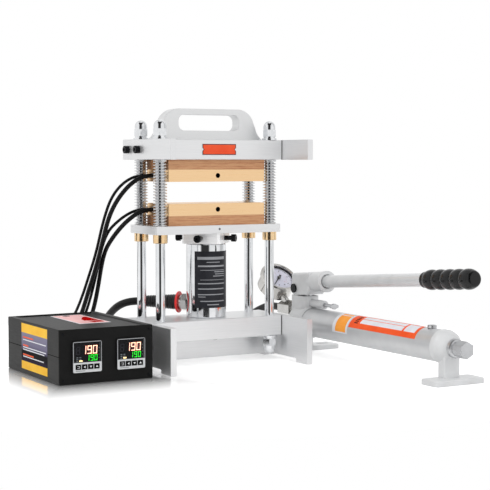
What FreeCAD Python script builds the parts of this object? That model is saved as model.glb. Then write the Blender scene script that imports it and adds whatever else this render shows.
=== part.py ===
"""Hydraulic heat press set: a four-post press frame with two heated plates, a twin temperature
controller box and a lever hand pump, joined by four cables and a pressure hose."""

import FreeCAD, Part
import math
import os

V = FreeCAD.Vector

# Every position below is in millimetres from the middle of the press frame, on the bench.
# X runs to the right of the press, Y to its back, Z up. The set is moved to its own origin,
# the middle of its footprint, when it is written.

# Press frame
BEAM_W = 249.0
BEAM_D = 95.0
BASE_Z = 42.2
BASE_T = 35.0
TOP_Z = 348.0
TOP_T = 34.0
SIDE_T = 10.5
SIDE_FRONT = -130.0
SIDE_BACK = 47.0
NOTCH_H = 7.0
NOTCH_END = 35.0
WEB_T = 8.0
WEB_GAP = 6.0
POST_R = 8.0
POST_STUD_R = POST_R - 1.0
POST_X = 106.0
POST_Y = 36.0
NUT_AF = 2 * POST_STUD_R + 8.0
NUT_HEX_H = 12.0
NUT_DOME_H = 15.0
WASHER_R = POST_STUD_R + 6.0
WASHER_T = 3.0
SCREW_R = 4.0
SCREW_HEAD_R = 6.5
SCREW_HEAD_H = 8.0

# Carry handle
HANDLE_T = 24.0
HANDLE_H = 52.5
HANDLE_BASE_W = 212.0
HANDLE_SLOT_W = 118.0
HANDLE_SLOT_H = 27.0
HANDLE_SLOT_Z = 15.5
HANDLE_SLOT_R = 11.0

# Heated plates and their insulators
PLATE_W = 186.0
PLATE_D = 82.0
PLATE_T = 20.5
INSULATOR_T = 16.5
PROBE_R = 4.2
PROBE_DEPTH = 24.0
HEATER_R = 5.0
HEATER_Y = 4.0
SENSOR_R = 2.0
SENSOR_Y = 19.0
GLAND_L = 8.0

# Moving plate, ram and cylinder
MOVING_W = 241.0
MOVING_D = 99.0
MOVING_T = 14.0
BUSHING_R = POST_R + 4.2
BUSHING_DROP = 14.5
RUN_CLEARANCE = 0.3
FIT = 0.15
COLLAR_SIDE = 67.0
COLLAR_CHAMFER = 4.0
COLLAR_T = 18.5
CYLINDER_R = 34.4
RAM_R = 21.0
RAM_FLOOR = 15.0

# Return springs
WIRE_R = 0.9
SPRING_PLAY = 0.7
SPRING_R = POST_R + SPRING_PLAY + WIRE_R
SPRING_TURNS = 23

# Controller box
BOX_W = 160.0
BOX_GAP = 31.0
BOX_X = -(BEAM_W / 2 + SIDE_T + BOX_GAP + BOX_W)
BOX_FRONT = -126.5
BOX_D = 220.0
BOX_H = 86.0
BOX_SEAM = 43.5
BOX_WALL = 2.5
RIM_W = 12.0
RIM_H = 2.0
PANEL_T = 3.0
BEZEL = 48.0
BEZEL_PROUD = 5.0
BEZEL_BODY = 44.6
BEZEL_BODY_D = 70.0
BEZEL_X = (21.5, 96.5)
BEZEL_Z = 18.4
KEY_W = 8.6
KEY_H = 7.6
KEY_T = 3.0
KEY_PROUD = 0.8
KEY_PITCH = 10.4
KEY_Z = 4.8
PLUG_X = (BOX_X + 94.0, BOX_X + 120.0)
PLUG_Z = (50.0, 24.0)
PLUG_END = 134.0
INLET_X = BOX_X + 36.0
INLET_Z = 30.0
ROCKER_Z = 62.0
ROCKER_TILT = 7.0
ROCKER_PIN_R = 1.2

# Hand pump
HEAD_FOOT_W = 154.0
PUMP_GAP = 2.0
PUMP_X = BEAM_W / 2 + SIDE_T + PUMP_GAP + HEAD_FOOT_W / 2
TUBE_Z = 55.5
TUBE_R = 26.0
TUBE_WALL = 3.0
TUBE_BACK = -4.0
TUBE_FRONT = -386.0
CAP_FACE = -413.0
FOOT_T = 8.5
END_FOOT_W = 96.0
END_FOOT_D = 42.0
HEAD_FOOT_Y = (16.0, 60.0)
FOOT_SLOT = (26.0, 9.0)
FOOT_SLOT_X = 51.0
HEAD_FRONT = -10.0
HEAD_BACK = 40.0
HEAD_TOP = TUBE_Z + TUBE_R + 21.0
HEAD_W = 36.0
COLLAR_R = TUBE_R + 3.0
PLUNGER_Y = 4.5
PLUNGER_R = 7.0
PLUNGER_Z = HEAD_TOP - 32.5
EYE_R = 6.0
EYE_W = 12.0
PIVOT_Y = 27.0
PIVOT_Z = HEAD_TOP + 12.5
PIN_R = 5.0
LUG_R = 9.0
LUG_W = 20.0
LEVER_TILT = 4.84
LEVER_AXIS_Z = PIVOT_Z + 12.7
LEVER_R = 11.0
LEVER_WALL = 2.5
LEVER_END = -452.0
LEVER_SEAT = 26.0
CHANNEL_W = 34.0
CHANNEL_ROOM = 22.0
SOCKET_R = 18.0
SOCKET_FACE = -56.0
GRIP_RIBS = 5
GRIP_PITCH = 22.9
GRIP_R = 16.4
GRIP_NECK_R = 13.6
GRIP_FIRST = -357.0
GRIP_COLLAR = 17.0
RELEASE_R = 7.5
RELEASE_Z = TUBE_Z + TUBE_R + RELEASE_R + 1.0
RELEASE_L = 38.0
KNOB_SHAFT_R = 3.0
KNOB_WING = 7.8
KNOB_REACH = 42.0
PLUG_R = 9.0
VENT_R = 4.8
VENT_Y = -358.0

# Pressure gauge and the adapter it stands on
ADAPTER_Y = (53.0, 92.0)
ADAPTER_Z = 73.0
ADAPTER_AF = 27.0
THREAD_R = 11.0
GAUGE_TILT = 50.0
GAUGE_PORT_Y = 83.0
GAUGE_REACH = 37.0
PORT_RISE = 9.0
GAUGE_R = 33.0
BEZEL_R = 36.0
WINDOW_R = 30.0
GAUGE_DEPTH = 34.0
DIAL_DEPTH = 6.0
STEM_R = 5.0
NEEDLE_REST = 135.0

# Hose and cables
HOSE_D = 13.5
POWER_D = 7.5
PROBE_D = 5.0
PORT_Z = 101.0
PORT_ANGLE = 135.0
PORT_R = 6.0
PORT_SEAT = 33.0
GUARD = (60.0, 110.0)
GUARD_RIBS = 8
HOSE_HEX_AF = 27.0

# Heights that follow from the sizes above
BASE_TOP = BASE_Z + BASE_T
UPPER_INSULATOR_Z = TOP_Z - INSULATOR_T
UPPER_PLATE_Z = UPPER_INSULATOR_Z - PLATE_T
PLATE_GAP = 36.8
LOWER_PLATE_Z = UPPER_PLATE_Z - PLATE_GAP - PLATE_T
LOWER_INSULATOR_Z = LOWER_PLATE_Z - INSULATOR_T
MOVING_TOP = LOWER_INSULATOR_Z
MOVING_Z = MOVING_TOP - MOVING_T
CYLINDER_TOP = MOVING_Z - COLLAR_T

# Routes of the hose and the cables, from point to point
UPPER_POWER = [
    (-101.0, 4.0, 321.25), (-116.0, 4.0, 321.25), (-134.0, 10.0, 311.0), (-149.0, 17.5, 294.0),
    (-160.0, 26.0, 274.0), (-166.5, 35.0, 253.0), (-168.5, 46.0, 231.0), (-168.0, 60.0, 208.0),
    (-168.0, 77.0, 180.0), (-168.0, 97.0, 150.0), (-168.0, 119.0, 122.0), (-167.0, 140.0, 95.0),
    (-166.0, 160.0, 72.0), (-170.0, 181.0, 57.0), (-184.0, 201.0, 49.0), (-205.0, 208.0, 46.0),
    (-224.0, 200.0, 46.0), (-234.0, 182.0, 47.5), (-234.0, 164.0, 49.0), (-232.0, 149.0, 50.0),
    (-232.0, 134.0, 50.0),
]
LOWER_POWER = [
    (-101.0, 4.0, 263.95), (-117.0, 4.0, 263.95), (-133.0, 11.0, 254.0), (-146.0, 23.0, 239.0),
    (-153.5, 38.0, 223.0), (-156.5, 54.0, 209.0), (-157.0, 71.0, 195.0), (-156.0, 86.0, 177.0),
    (-154.0, 100.0, 156.0), (-152.0, 114.0, 131.0), (-150.0, 130.0, 104.0), (-148.5, 148.0, 78.0),
    (-150.0, 168.0, 54.0), (-157.0, 187.0, 36.0), (-172.0, 203.0, 25.0), (-193.0, 210.0, 20.0),
    (-213.0, 208.0, 18.5), (-229.0, 196.0, 19.0), (-234.0, 178.0, 21.0), (-233.0, 161.0, 23.0),
    (-232.0, 147.0, 24.0), (-232.0, 134.0, 24.0),
]
UPPER_PROBE = [
    (-101.0, 18.0, 321.25), (-116.0, 18.0, 321.25), (-131.0, 20.0, 318.0), (-144.5, 25.0, 309.0),
    (-155.0, 32.0, 296.0), (-163.0, 39.0, 279.0), (-168.5, 46.0, 257.0), (-171.5, 57.0, 230.0),
    (-171.0, 73.0, 202.0), (-171.0, 91.0, 174.0), (-172.0, 111.0, 145.0), (-172.5, 132.0, 116.0),
    (-173.0, 153.0, 91.0), (-174.5, 171.0, 71.0), (-181.5, 183.0, 58.0), (-195.0, 185.0, 52.0),
    (-206.5, 175.5, 50.0), (-207.5, 160.5, 49.5), (-206.0, 147.0, 50.0), (-206.0, 134.0, 50.0),
]
LOWER_PROBE = [
    (-101.0, 18.0, 263.95), (-116.0, 18.0, 263.95), (-130.0, 21.0, 260.5), (-143.0, 28.0, 252.0),
    (-153.0, 38.0, 241.0), (-160.0, 50.0, 229.0), (-163.0, 62.0, 213.0), (-163.0, 78.0, 191.0),
    (-162.0, 92.0, 168.0), (-160.5, 108.0, 142.0), (-159.5, 126.0, 115.0), (-159.0, 146.0, 87.0),
    (-160.0, 166.0, 62.0), (-165.5, 182.0, 45.0), (-177.0, 191.0, 33.0), (-192.0, 189.0, 26.0),
    (-203.0, 179.0, 23.5), (-207.0, 165.0, 23.0), (-207.0, 152.0, 23.5), (-206.0, 142.0, 24.0),
    (-206.0, 134.0, 24.0),
]
HOSE = [
    (-77.79, 77.79, 101.0), (-94.0, 94.0, 101.0), (-108.5, 116.0, 94.0), (-113.0, 144.0, 79.0),
    (-111.0, 176.0, 59.0), (-106.0, 210.0, 38.0), (-99.0, 248.0, 19.5), (-90.0, 290.0, 8.5),
    (-80.0, 336.0, 6.9), (-62.0, 388.0, 6.9), (-25.0, 436.0, 6.9), (30.0, 464.0, 6.9),
    (90.0, 460.0, 6.9), (142.0, 426.0, 6.9), (172.0, 375.0, 6.9), (188.0, 322.0, 9.0),
    (198.0, 274.0, 20.0), (206.0, 230.0, 38.0), (212.0, 190.0, 57.0), (215.0, 156.0, 70.0),
    (214.0, 127.0, 73.0), (214.0, 98.0, 73.0),
]


def block(x0, x1, y0, y1, z0, z1):
    return Part.makeBox(x1 - x0, y1 - y0, z1 - z0, V(x0, y0, z0))


def rod(radius, length, x, y, z, axis=(0, 0, 1)):
    return Part.makeCylinder(radius, length, V(x, y, z), V(*axis))


def face_of(points, axes="xz", level=0.0):
    """A flat face through points of a plane: xz at Y=level, yz at X=level or xy at Z=level."""
    place = {
        "xz": lambda a, b: V(a, level, b),
        "yz": lambda a, b: V(level, a, b),
        "xy": lambda a, b: V(a, b, level),
    }[axes]
    corners = [place(a, b) for a, b in points]
    return Part.Face(Part.makePolygon(corners + corners[:1]))


def revolved(profile, x, y, z, axis=(0, 0, 1)):
    """A turned solid from (radius, height) corners, standing at a point along an axis."""
    face = face_of(profile, "xz")
    solid = face.revolve(V(0, 0, 0), V(0, 0, 1), 360)
    solid.Placement = FreeCAD.Placement(V(x, y, z), FreeCAD.Rotation(V(0, 0, 1), V(*axis)))
    return solid


def hexagon(across_flats, height, x, y, z, axis=(0, 0, 1), turn=0.0):
    """A hexagonal prism, standing at a point along an axis."""
    corner = across_flats / math.sqrt(3)
    points = []
    for i in range(6):
        angle = math.radians(60 * i + turn)
        points.append((corner * math.cos(angle), corner * math.sin(angle)))
    solid = face_of(points, "xy").extrude(V(0, 0, height))
    solid.Placement = FreeCAD.Placement(V(x, y, z), FreeCAD.Rotation(V(0, 0, 1), V(*axis)))
    return solid


def edges_along(shape, axis, keep=lambda middle: True):
    """The straight edges of a shape that run along x, y or z and whose middle passes a test."""
    found = []
    for edge in shape.Edges:
        if not isinstance(edge.Curve, Part.Line):
            continue
        way = edge.Vertexes[-1].Point - edge.Vertexes[0].Point
        way.normalize()
        if abs(getattr(way, axis)) > 0.999 and keep(edge.CenterOfMass):
            found.append(edge)
    return found


def chamfered(shape, size, axis, keep=lambda middle: True):
    return shape.makeChamfer(size, edges_along(shape, axis, keep))


def rounded(shape, radius, axis, keep=lambda middle: True):
    return shape.makeFillet(radius, edges_along(shape, axis, keep))


def socket_screw(x, y, z, axis, shank, head_r=SCREW_HEAD_R, head_h=SCREW_HEAD_H, shank_r=SCREW_R):
    """A socket head screw whose head's underside is at the point and whose head looks along axis."""
    profile = [(0, -shank), (shank_r, -shank), (shank_r, 0), (head_r, 0)]
    profile += [(head_r, head_h - 0.8), (head_r - 0.8, head_h), (0, head_h)]
    way = V(*axis)
    top = V(x, y, z) + way * (head_h - head_r * 0.7)
    drive = hexagon(head_r * 0.9, head_r, top.x, top.y, top.z, axis)
    return revolved(profile, x, y, z, axis).cut(drive)


def signs():
    return [(sx, sy) for sx in (-1, 1) for sy in (-1, 1)]


# Press frame

def drilled_for_posts(beam, radius):
    for sx, sy in signs():
        beam = beam.cut(rod(radius + FIT, 600, sx * POST_X, sy * POST_Y, -50))
    return beam


def beam(z, thickness):
    body = block(-BEAM_W / 2, BEAM_W / 2, -BEAM_D / 2, BEAM_D / 2, z, z + thickness)
    body = chamfered(body, 1.2, "x")
    return drilled_for_posts(body, POST_STUD_R)


def cylinder_bolt_places():
    return [(10.0, -12.0), (-10.0, 12.0)]


def side_screw_places(z):
    return [(y, z) for y in (-14.0, 26.0)]


def drilled_for_side_screws(body, z):
    for y, height in side_screw_places(z):
        body = body.cut(rod(SCREW_R + FIT, 2 * BEAM_W, -BEAM_W, y, height, (1, 0, 0)))
    return body


def base_beam():
    body = beam(BASE_Z, BASE_T)
    for x, y in cylinder_bolt_places():
        body = body.cut(rod(SCREW_R + FIT, 100, x, y, BASE_Z - 10))
    return drilled_for_side_screws(body, BASE_Z + BASE_T / 2)


def top_beam():
    body = beam(TOP_Z, TOP_T)
    for x in (-70.0, 70.0):
        body = body.cut(rod(SCREW_R + FIT, 100, x, 0, TOP_Z - 10))
        body = body.cut(rod(SCREW_HEAD_R + 0.5, 9, x, 0, TOP_Z - 0.01))
    return drilled_for_side_screws(body, TOP_Z + TOP_T / 2)


def side_plate(side, z0, z1, screw_z):
    """A flat side plate that reaches forward past the beam, so that the press can lie on its front."""
    inner = side * BEAM_W / 2
    outer = side * (BEAM_W / 2 + SIDE_T)
    body = block(min(inner, outer), max(inner, outer), SIDE_FRONT, SIDE_BACK, z0, z1)
    body = chamfered(body, 1.0, "y", lambda m: abs(m.x - outer) < 0.1)
    return drilled_for_side_screws(body, screw_z)


def foot_plate(side):
    body = side_plate(side, 0, BASE_TOP, BASE_Z + BASE_T / 2)
    inner = SIDE_FRONT + NOTCH_END
    notch = block(-400, 400, inner, SIDE_BACK - NOTCH_END, -1, NOTCH_H)
    notch = rounded(notch, 3.0, "x", lambda m: m.z > 0)
    return body.cut(notch)


def wing_plate(side):
    return side_plate(side, TOP_Z, TOP_Z + TOP_T, TOP_Z + TOP_T / 2)


def center_web():
    return block(-BEAM_W / 2, BEAM_W / 2, -WEB_T / 2, WEB_T / 2, WEB_GAP, BASE_Z)


def guide_post(x, y):
    stud = WASHER_T * 2 + NUT_HEX_H + 2
    profile = [(0, BASE_Z - stud), (POST_STUD_R - 1, BASE_Z - stud), (POST_STUD_R, BASE_Z - stud + 1)]
    profile += [(POST_STUD_R, BASE_TOP), (POST_R, BASE_TOP), (POST_R, TOP_Z), (POST_STUD_R, TOP_Z)]
    end = TOP_Z + TOP_T + stud
    profile += [(POST_STUD_R, end - 1), (POST_STUD_R - 1, end), (0, end)]
    return revolved(profile, x, y, 0)


def guide_posts():
    return Part.makeCompound([guide_post(sx * POST_X, sy * POST_Y) for sx, sy in signs()])


def washer_stack(x, y, z, up):
    bore = POST_STUD_R + FIT
    flat = [(bore, 0), (WASHER_R, 0), (WASHER_R, WASHER_T), (bore, WASHER_T)]
    lock = [(bore, WASHER_T), (WASHER_R - 2.5, WASHER_T)]
    lock += [(WASHER_R - 2.5, 2 * WASHER_T), (bore, 2 * WASHER_T)]
    return [revolved(flat, x, y, z, (0, 0, up)), revolved(lock, x, y, z, (0, 0, up))]


def cap_nut(x, y, z, up):
    """A domed cap nut: chamfered hexagon, then a round crown over the end of the stud."""
    crown = NUT_AF / 2 - 0.4
    body = hexagon(NUT_AF, NUT_HEX_H, 0, 0, 0)
    corner = NUT_AF / math.sqrt(3)
    limit = [(0, 0), (corner - 1, 0), (corner, 0.8), (corner, NUT_HEX_H - 1.2)]
    limit += [(corner - 1.6, NUT_HEX_H), (0, NUT_HEX_H)]
    body = body.common(revolved(limit, 0, 0, 0))
    neck = NUT_DOME_H - crown
    dome = rod(crown, neck, 0, 0, NUT_HEX_H)
    dome = dome.fuse(Part.makeSphere(crown, V(0, 0, NUT_HEX_H + neck), V(0, 0, 1), 0, 90, 360))
    body = body.fuse(dome).removeSplitter()
    body = body.cut(rod(POST_STUD_R + FIT, NUT_HEX_H + 3, 0, 0, 0))
    body.Placement = FreeCAD.Placement(V(x, y, z), FreeCAD.Rotation(V(0, 0, 1), V(0, 0, up)))
    return body


def post_nuts():
    """Flat washer, lock washer and cap nut on both ends of each post."""
    pieces = []
    for sx, sy in signs():
        for z, up in ((TOP_Z + TOP_T, 1), (BASE_Z, -1)):
            pieces += washer_stack(sx * POST_X, sy * POST_Y, z, up)
            pieces.append(cap_nut(sx * POST_X, sy * POST_Y, z + up * 2 * WASHER_T, up))
    return Part.makeCompound(pieces)


def frame_screws():
    """Side plate screws, the two bolts under the cylinder and the two in the handle."""
    pieces = []
    for side in (-1, 1):
        x = side * (BEAM_W / 2 + SIDE_T)
        for level in (BASE_Z + BASE_T / 2, TOP_Z + TOP_T / 2):
            for y, z in side_screw_places(level):
                pieces.append(socket_screw(x, y, z, (side, 0, 0), 14.0))
    for x, y in cylinder_bolt_places():
        pieces.append(socket_screw(x, y, BASE_Z, (0, 0, -1), BASE_T + 10.0, 5.0, 5.0))
    for x in (-70.0, 70.0):
        pieces.append(socket_screw(x, 0, TOP_Z + 8.99, (0, 0, -1), TOP_T + 3.0))
    return Part.makeCompound(pieces)


def carry_handle():
    """A thick plate with sloping shoulders, flared feet and an oblong hand slot."""
    z = TOP_Z + TOP_T
    half = HANDLE_BASE_W / 2
    top = z + HANDLE_H
    left = [V(-half, 0, z), V(-half + 9, 0, z + 8.0), V(-half + 14.5, 0, z + 20.0)]
    shoulder = [V(-half + 21, 0, z + 36.0), V(-half + 32, 0, z + 47.5), V(-half + 52, 0, top)]
    mirror = [V(-p.x, 0, p.z) for p in reversed(left + shoulder)]
    foot = Part.Arc(left[0], left[1], left[2]).toShape()
    flank = Part.LineSegment(left[2], shoulder[0]).toShape()
    bend = Part.Arc(shoulder[0], shoulder[1], shoulder[2]).toShape()
    crown = Part.LineSegment(shoulder[2], mirror[0]).toShape()
    bend_back = Part.Arc(mirror[0], mirror[1], mirror[2]).toShape()
    flank_back = Part.LineSegment(mirror[2], mirror[3]).toShape()
    foot_back = Part.Arc(mirror[3], mirror[4], mirror[5]).toShape()
    sole = Part.LineSegment(mirror[5], left[0]).toShape()
    outline = Part.Wire([foot, flank, bend, crown, bend_back, flank_back, foot_back, sole])
    body = Part.Face(outline).extrude(V(0, HANDLE_T, 0))
    body.translate(V(0, -HANDLE_T / 2, 0))
    slot_z = z + HANDLE_SLOT_Z
    slot = block(-HANDLE_SLOT_W / 2, HANDLE_SLOT_W / 2, -30, 30, slot_z, slot_z + HANDLE_SLOT_H)
    body = body.cut(rounded(slot, HANDLE_SLOT_R, "y"))
    for x in (-70.0, 70.0):
        body = body.cut(rod(SCREW_R + FIT, 12.5, x, 0, z - 0.01))
    return body


# Heated plates

def insulator(z):
    body = block(-PLATE_W / 2, PLATE_W / 2, -PLATE_D / 2, PLATE_D / 2, z, z + INSULATOR_T)
    return chamfered(body, 0.6, "z")


def heat_plate(z):
    """A heated plate with a probe bore in front and two bores on the left for heater and sensor."""
    body = block(-PLATE_W / 2, PLATE_W / 2, -PLATE_D / 2, PLATE_D / 2, z, z + PLATE_T)
    body = chamfered(body, 0.8, "z")
    middle = z + PLATE_T / 2
    body = body.cut(rod(PROBE_R, PROBE_DEPTH, 1.0, -PLATE_D / 2 - 0.01, middle, (0, 1, 0)))
    body = body.cut(rod(HEATER_R, PLATE_W - 20, -PLATE_W / 2 - 0.01, HEATER_Y + 14, middle, (1, 0, 0)))
    body = body.cut(rod(HEATER_R, PLATE_W - 20, -PLATE_W / 2 - 0.01, HEATER_Y, middle, (1, 0, 0)))
    return body


def heater_set(z):
    """The heater cartridge and the sensor in one plate, each with the sleeve its lead leaves by."""
    middle = z + PLATE_T / 2
    edge = -PLATE_W / 2
    pieces = []
    for y, lead in ((HEATER_Y, POWER_D), (SENSOR_Y - 1.0, PROBE_D)):
        length = PLATE_W - 30 if lead == POWER_D else 60.0
        profile = [(0, 0), (HEATER_R - 0.5, 0), (HEATER_R - 0.1, 0.5), (HEATER_R - 0.1, length)]
        profile += [(lead / 2 + 1.2, length), (lead / 2 + 0.6, length + GLAND_L), (0, length + GLAND_L)]
        pieces.append(revolved(profile, edge + length, y, middle, (-1, 0, 0)))
    return pieces


def upper_heater():
    return Part.makeCompound(heater_set(UPPER_PLATE_Z))


def lower_heater():
    return Part.makeCompound(heater_set(LOWER_PLATE_Z))


# Moving plate, ram and cylinder

def moving_plate():
    body = block(-MOVING_W / 2, MOVING_W / 2, -MOVING_D / 2, MOVING_D / 2, MOVING_Z, MOVING_TOP)
    body = chamfered(body, 1.0, "z")
    for sx, sy in signs():
        body = body.cut(rod(BUSHING_R - 2 + FIT, 60, sx * POST_X, sy * POST_Y, MOVING_Z - 20))
    return body


def guide_bushing(x, y):
    """A flanged bronze bush pressed up into the moving plate, running on its post."""
    bore = POST_R + RUN_CLEARANCE
    profile = [(bore + 0.8, -BUSHING_DROP), (BUSHING_R - 0.6, -BUSHING_DROP)]
    profile += [(BUSHING_R, -BUSHING_DROP + 0.6), (BUSHING_R, 0), (BUSHING_R - 2, 0)]
    profile += [(BUSHING_R - 2, MOVING_T), (bore, MOVING_T), (bore, -BUSHING_DROP + 0.8)]
    return revolved(profile, x, y, MOVING_Z)


def guide_bushings():
    return Part.makeCompound([guide_bushing(sx * POST_X, sy * POST_Y) for sx, sy in signs()])


def ram_collar():
    """A square clamp block, turned 45 degrees, that holds the ram's head under the moving plate."""
    half = COLLAR_SIDE / 2
    body = block(-half, half, -half, half, CYLINDER_TOP, MOVING_Z)
    body = chamfered(body, COLLAR_CHAMFER, "z")
    body = body.cut(rod(RAM_R + FIT, 60, 0, 0, CYLINDER_TOP - 10))
    for turn in range(4):
        hole = rod(SCREW_R + FIT, 60, RAM_R - 2, 0, CYLINDER_TOP + COLLAR_T / 2, (1, 0, 0))
        body = body.cut(hole.rotated(V(0, 0, 0), V(0, 0, 1), 90 * turn))
    return body.rotated(V(0, 0, 0), V(0, 0, 1), 45)


def collar_screws():
    """Four long screws, one through the middle of each side of the collar, against the ram."""
    pieces = []
    reach = COLLAR_SIDE / 2 + 12.5
    for turn in range(4):
        screw = socket_screw(reach, 0, CYLINDER_TOP + COLLAR_T / 2, (1, 0, 0), reach - RAM_R - FIT)
        pieces.append(screw.rotated(V(0, 0, 0), V(0, 0, 1), 45 + 90 * turn))
    return Part.makeCompound(pieces)


def cylinder_body():
    """The round cylinder: thick floor, bore for the ram and a side port for the hose."""
    bore = RAM_R + RUN_CLEARANCE
    profile = [(0, BASE_TOP), (CYLINDER_R - 1.5, BASE_TOP), (CYLINDER_R, BASE_TOP + 1.5)]
    profile += [(CYLINDER_R, CYLINDER_TOP - 2.0), (CYLINDER_R - 1.2, CYLINDER_TOP - 0.4)]
    profile += [(bore, CYLINDER_TOP - 0.4), (bore, BASE_TOP + RAM_FLOOR), (0, BASE_TOP + RAM_FLOOR)]
    body = revolved(profile, 0, 0, 0)
    for x, y in cylinder_bolt_places():
        body = body.cut(rod(SCREW_R + FIT, 10.5, x, y, BASE_TOP - 0.01))
    way = port_way()
    start, seat = way * (RAM_R - 1), way * PORT_SEAT
    body = body.cut(rod(PORT_R + FIT, 30, start.x, start.y, PORT_Z, (way.x, way.y, 0)))
    return body.cut(rod(HOSE_HEX_AF * 0.6, 30, seat.x, seat.y, PORT_Z, (way.x, way.y, 0)))


def ram():
    """The lifting ram, drilled out below and held in the collar above."""
    bottom = BASE_TOP + RAM_FLOOR + 2.0
    profile = [(14.0, bottom), (RAM_R - 1.5, bottom), (RAM_R, bottom + 1.5), (RAM_R, MOVING_Z)]
    profile += [(0, MOVING_Z), (0, MOVING_Z - 40.0), (14.0, MOVING_Z - 46.0)]
    return revolved(profile, 0, 0, 0)


# Return springs

def tangent_arc(start, way, end):
    """The arc that leaves start along way and arrives at end."""
    chord = end - start
    length = chord.Length
    along = V(chord) / length
    side = way - along * way.dot(along)
    angle = math.atan2(side.Length, way.dot(along))
    middle = (start + end) / 2 + (side / side.Length) * (length / 2 * math.tan(angle / 2))
    return Part.Arc(start, middle, end).toShape()


def biarc(start, way_in, end, way_out):
    """Two arcs that share a tangent, from one point and direction to another."""
    v = end - start
    both = way_in + way_out
    a = 2 * (1 - way_in.dot(way_out))
    b = 2 * v.dot(both)
    reach = (-b + math.sqrt(b * b + 4 * a * v.dot(v))) / (2 * a)
    joint = (start + way_in * reach + end - way_out * reach) / 2
    first = tangent_arc(start, way_in, joint)
    second = tangent_arc(end, way_out * -1, joint)
    return [first, Part.Edge(second.Curve, second.FirstParameter, second.LastParameter)]


def coil_wire(radius, pitch, turns, x, y, z):
    """A helix as biarcs of half a turn each."""
    rise = pitch / (2 * math.pi)
    scale = math.hypot(radius, rise)

    def at(angle):
        return V(x + radius * math.cos(angle), y + radius * math.sin(angle), z + rise * angle)

    def heading(angle):
        return V(-radius * math.sin(angle), radius * math.cos(angle), rise) / scale

    edges = []
    for i in range(int(2 * turns)):
        a, b = math.pi * i, math.pi * (i + 1)
        edges += biarc(at(a), heading(a), at(b), heading(b))
    return Part.Wire(Part.__sortEdges__(edges)), at(0), heading(0)


def return_spring(x, y):
    bottom = MOVING_TOP + WIRE_R + 0.05
    top = TOP_Z - WIRE_R - 0.05
    pitch = (top - bottom) / SPRING_TURNS
    path, start, way = coil_wire(SPRING_R, pitch, SPRING_TURNS, x, y, bottom)
    print("return spring: pitch", round(pitch, 2), "least gap to itself", round(pitch - 2 * WIRE_R, 2))
    side = V(start.x - x, start.y - y, 0)
    side.normalize()
    over = way.cross(side)
    corners = []
    for i in range(6):
        angle = math.radians(60 * i)
        corners.append(start + side * (WIRE_R * math.cos(angle)) + over * (WIRE_R * math.sin(angle)))
    section = Part.makePolygon(corners + corners[:1])
    shell = Part.BRepOffsetAPI.MakePipeShell(path)
    shell.add(section)
    shell.build()
    shell.makeSolid()
    return shell.shape()


def return_springs():
    return Part.makeCompound([return_spring(sx * POST_X, sy * POST_Y) for sx, sy in signs()])


# Hose fittings

def port_way():
    angle = math.radians(PORT_ANGLE)
    return V(math.cos(angle), math.sin(angle), 0)


def on_port(profile):
    """A turned piece on the axis of the cylinder's port, heights measured from the cylinder's middle."""
    way = port_way()
    return revolved(profile, 0, 0, PORT_Z, (way.x, way.y, 0))


def cylinder_coupler():
    """A quick coupler: stub in the port, hexagon on its spot face, then a round sleeve."""
    stub = on_port([(3, RAM_R + 2), (PORT_R, RAM_R + 2), (PORT_R, PORT_SEAT), (12.5, PORT_SEAT + 0.1),
                    (12.5, 53), (10.8, 55), (10.8, GUARD[0]), (3, GUARD[0])])
    way = port_way()
    start = way * PORT_SEAT
    collar = hexagon(HOSE_HEX_AF, 10, start.x, start.y, PORT_Z, (way.x, way.y, 0))
    collar = collar.cut(rod(PORT_R - 0.1, 40, start.x, start.y, PORT_Z, (way.x, way.y, 0)))
    return collar.fuse(stub).removeSplitter()


def coupler_ring():
    """The soft dust ring round the coupler, open towards the cylinder like a shallow cup."""
    return on_port([(12.6, 52), (16.5, 46), (18, 46.6), (17, 56), (12.6, 58)])


def bend_guard():
    """A ribbed sleeve that stiffens the hose where it leaves the coupler."""
    start, end = GUARD
    pitch = (end - start - 6) / GUARD_RIBS
    profile = [(0, start), (12.5, start)]
    for i in range(GUARD_RIBS):
        at = start + 3 + i * pitch
        radius = 12.5 - 2.6 * i / GUARD_RIBS
        profile += [(radius, at), (radius - 1.2, at + 0.8), (radius - 1.2, at + pitch - 2.6)]
        profile += [(radius - 0.2, at + pitch - 1.8)]
    profile += [(9.6, end - 3), (8.2, end), (0, end)]
    return on_port(profile)


def gauge_way():
    """The direction from the gauge's middle down its stem, in the plane of its tilted face."""
    tilt = math.radians(GAUGE_TILT)
    return V(0, -math.sin(tilt), -math.cos(tilt))


def gauge_port():
    """Where the gauge's stem stands on the adapter, a little above its upper flat."""
    top = ADAPTER_Z + ADAPTER_AF / 2
    return V(PUMP_X, GAUGE_PORT_Y, top) - gauge_way() * PORT_RISE


def gauge_adapter():
    """The hexagon adapter behind the pump head: thread, gauge port on top, hose sleeve at its end."""
    y0, y1 = ADAPTER_Y
    length = y1 - y0
    body = hexagon(ADAPTER_AF, length, PUMP_X, y0, ADAPTER_Z, (0, 1, 0), 30)
    root = THREAD_R - 1.5
    profile = [(0, HEAD_BACK - y0 - 10), (root, HEAD_BACK - y0 - 10), (root, HEAD_BACK - y0)]
    for i in range(4):
        at = HEAD_BACK - y0 + 3.2 * i
        profile += [(root, at + 0.4), (THREAD_R, at + 1.2), (THREAD_R, at + 2.0), (root, at + 2.8)]
    profile += [(root, 0.5), (0, 0.5)]
    body = body.fuse(revolved(profile, PUMP_X, y0, ADAPTER_Z, (0, 1, 0)))
    sleeve = [(0, length - 1), (9.8, length - 1), (9.8, length + 4), (8.6, length + 6), (0, length + 6)]
    body = body.fuse(revolved(sleeve, PUMP_X, y0, ADAPTER_Z, (0, 1, 0)))
    port, way = gauge_port(), gauge_way()
    start = port + way * 14
    return body.fuse(rod(STEM_R + 1.5, 14, start.x, start.y, start.z, way * -1)).removeSplitter()


def hose_couplers():
    return Part.makeCompound([cylinder_coupler(), gauge_adapter()])


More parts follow.
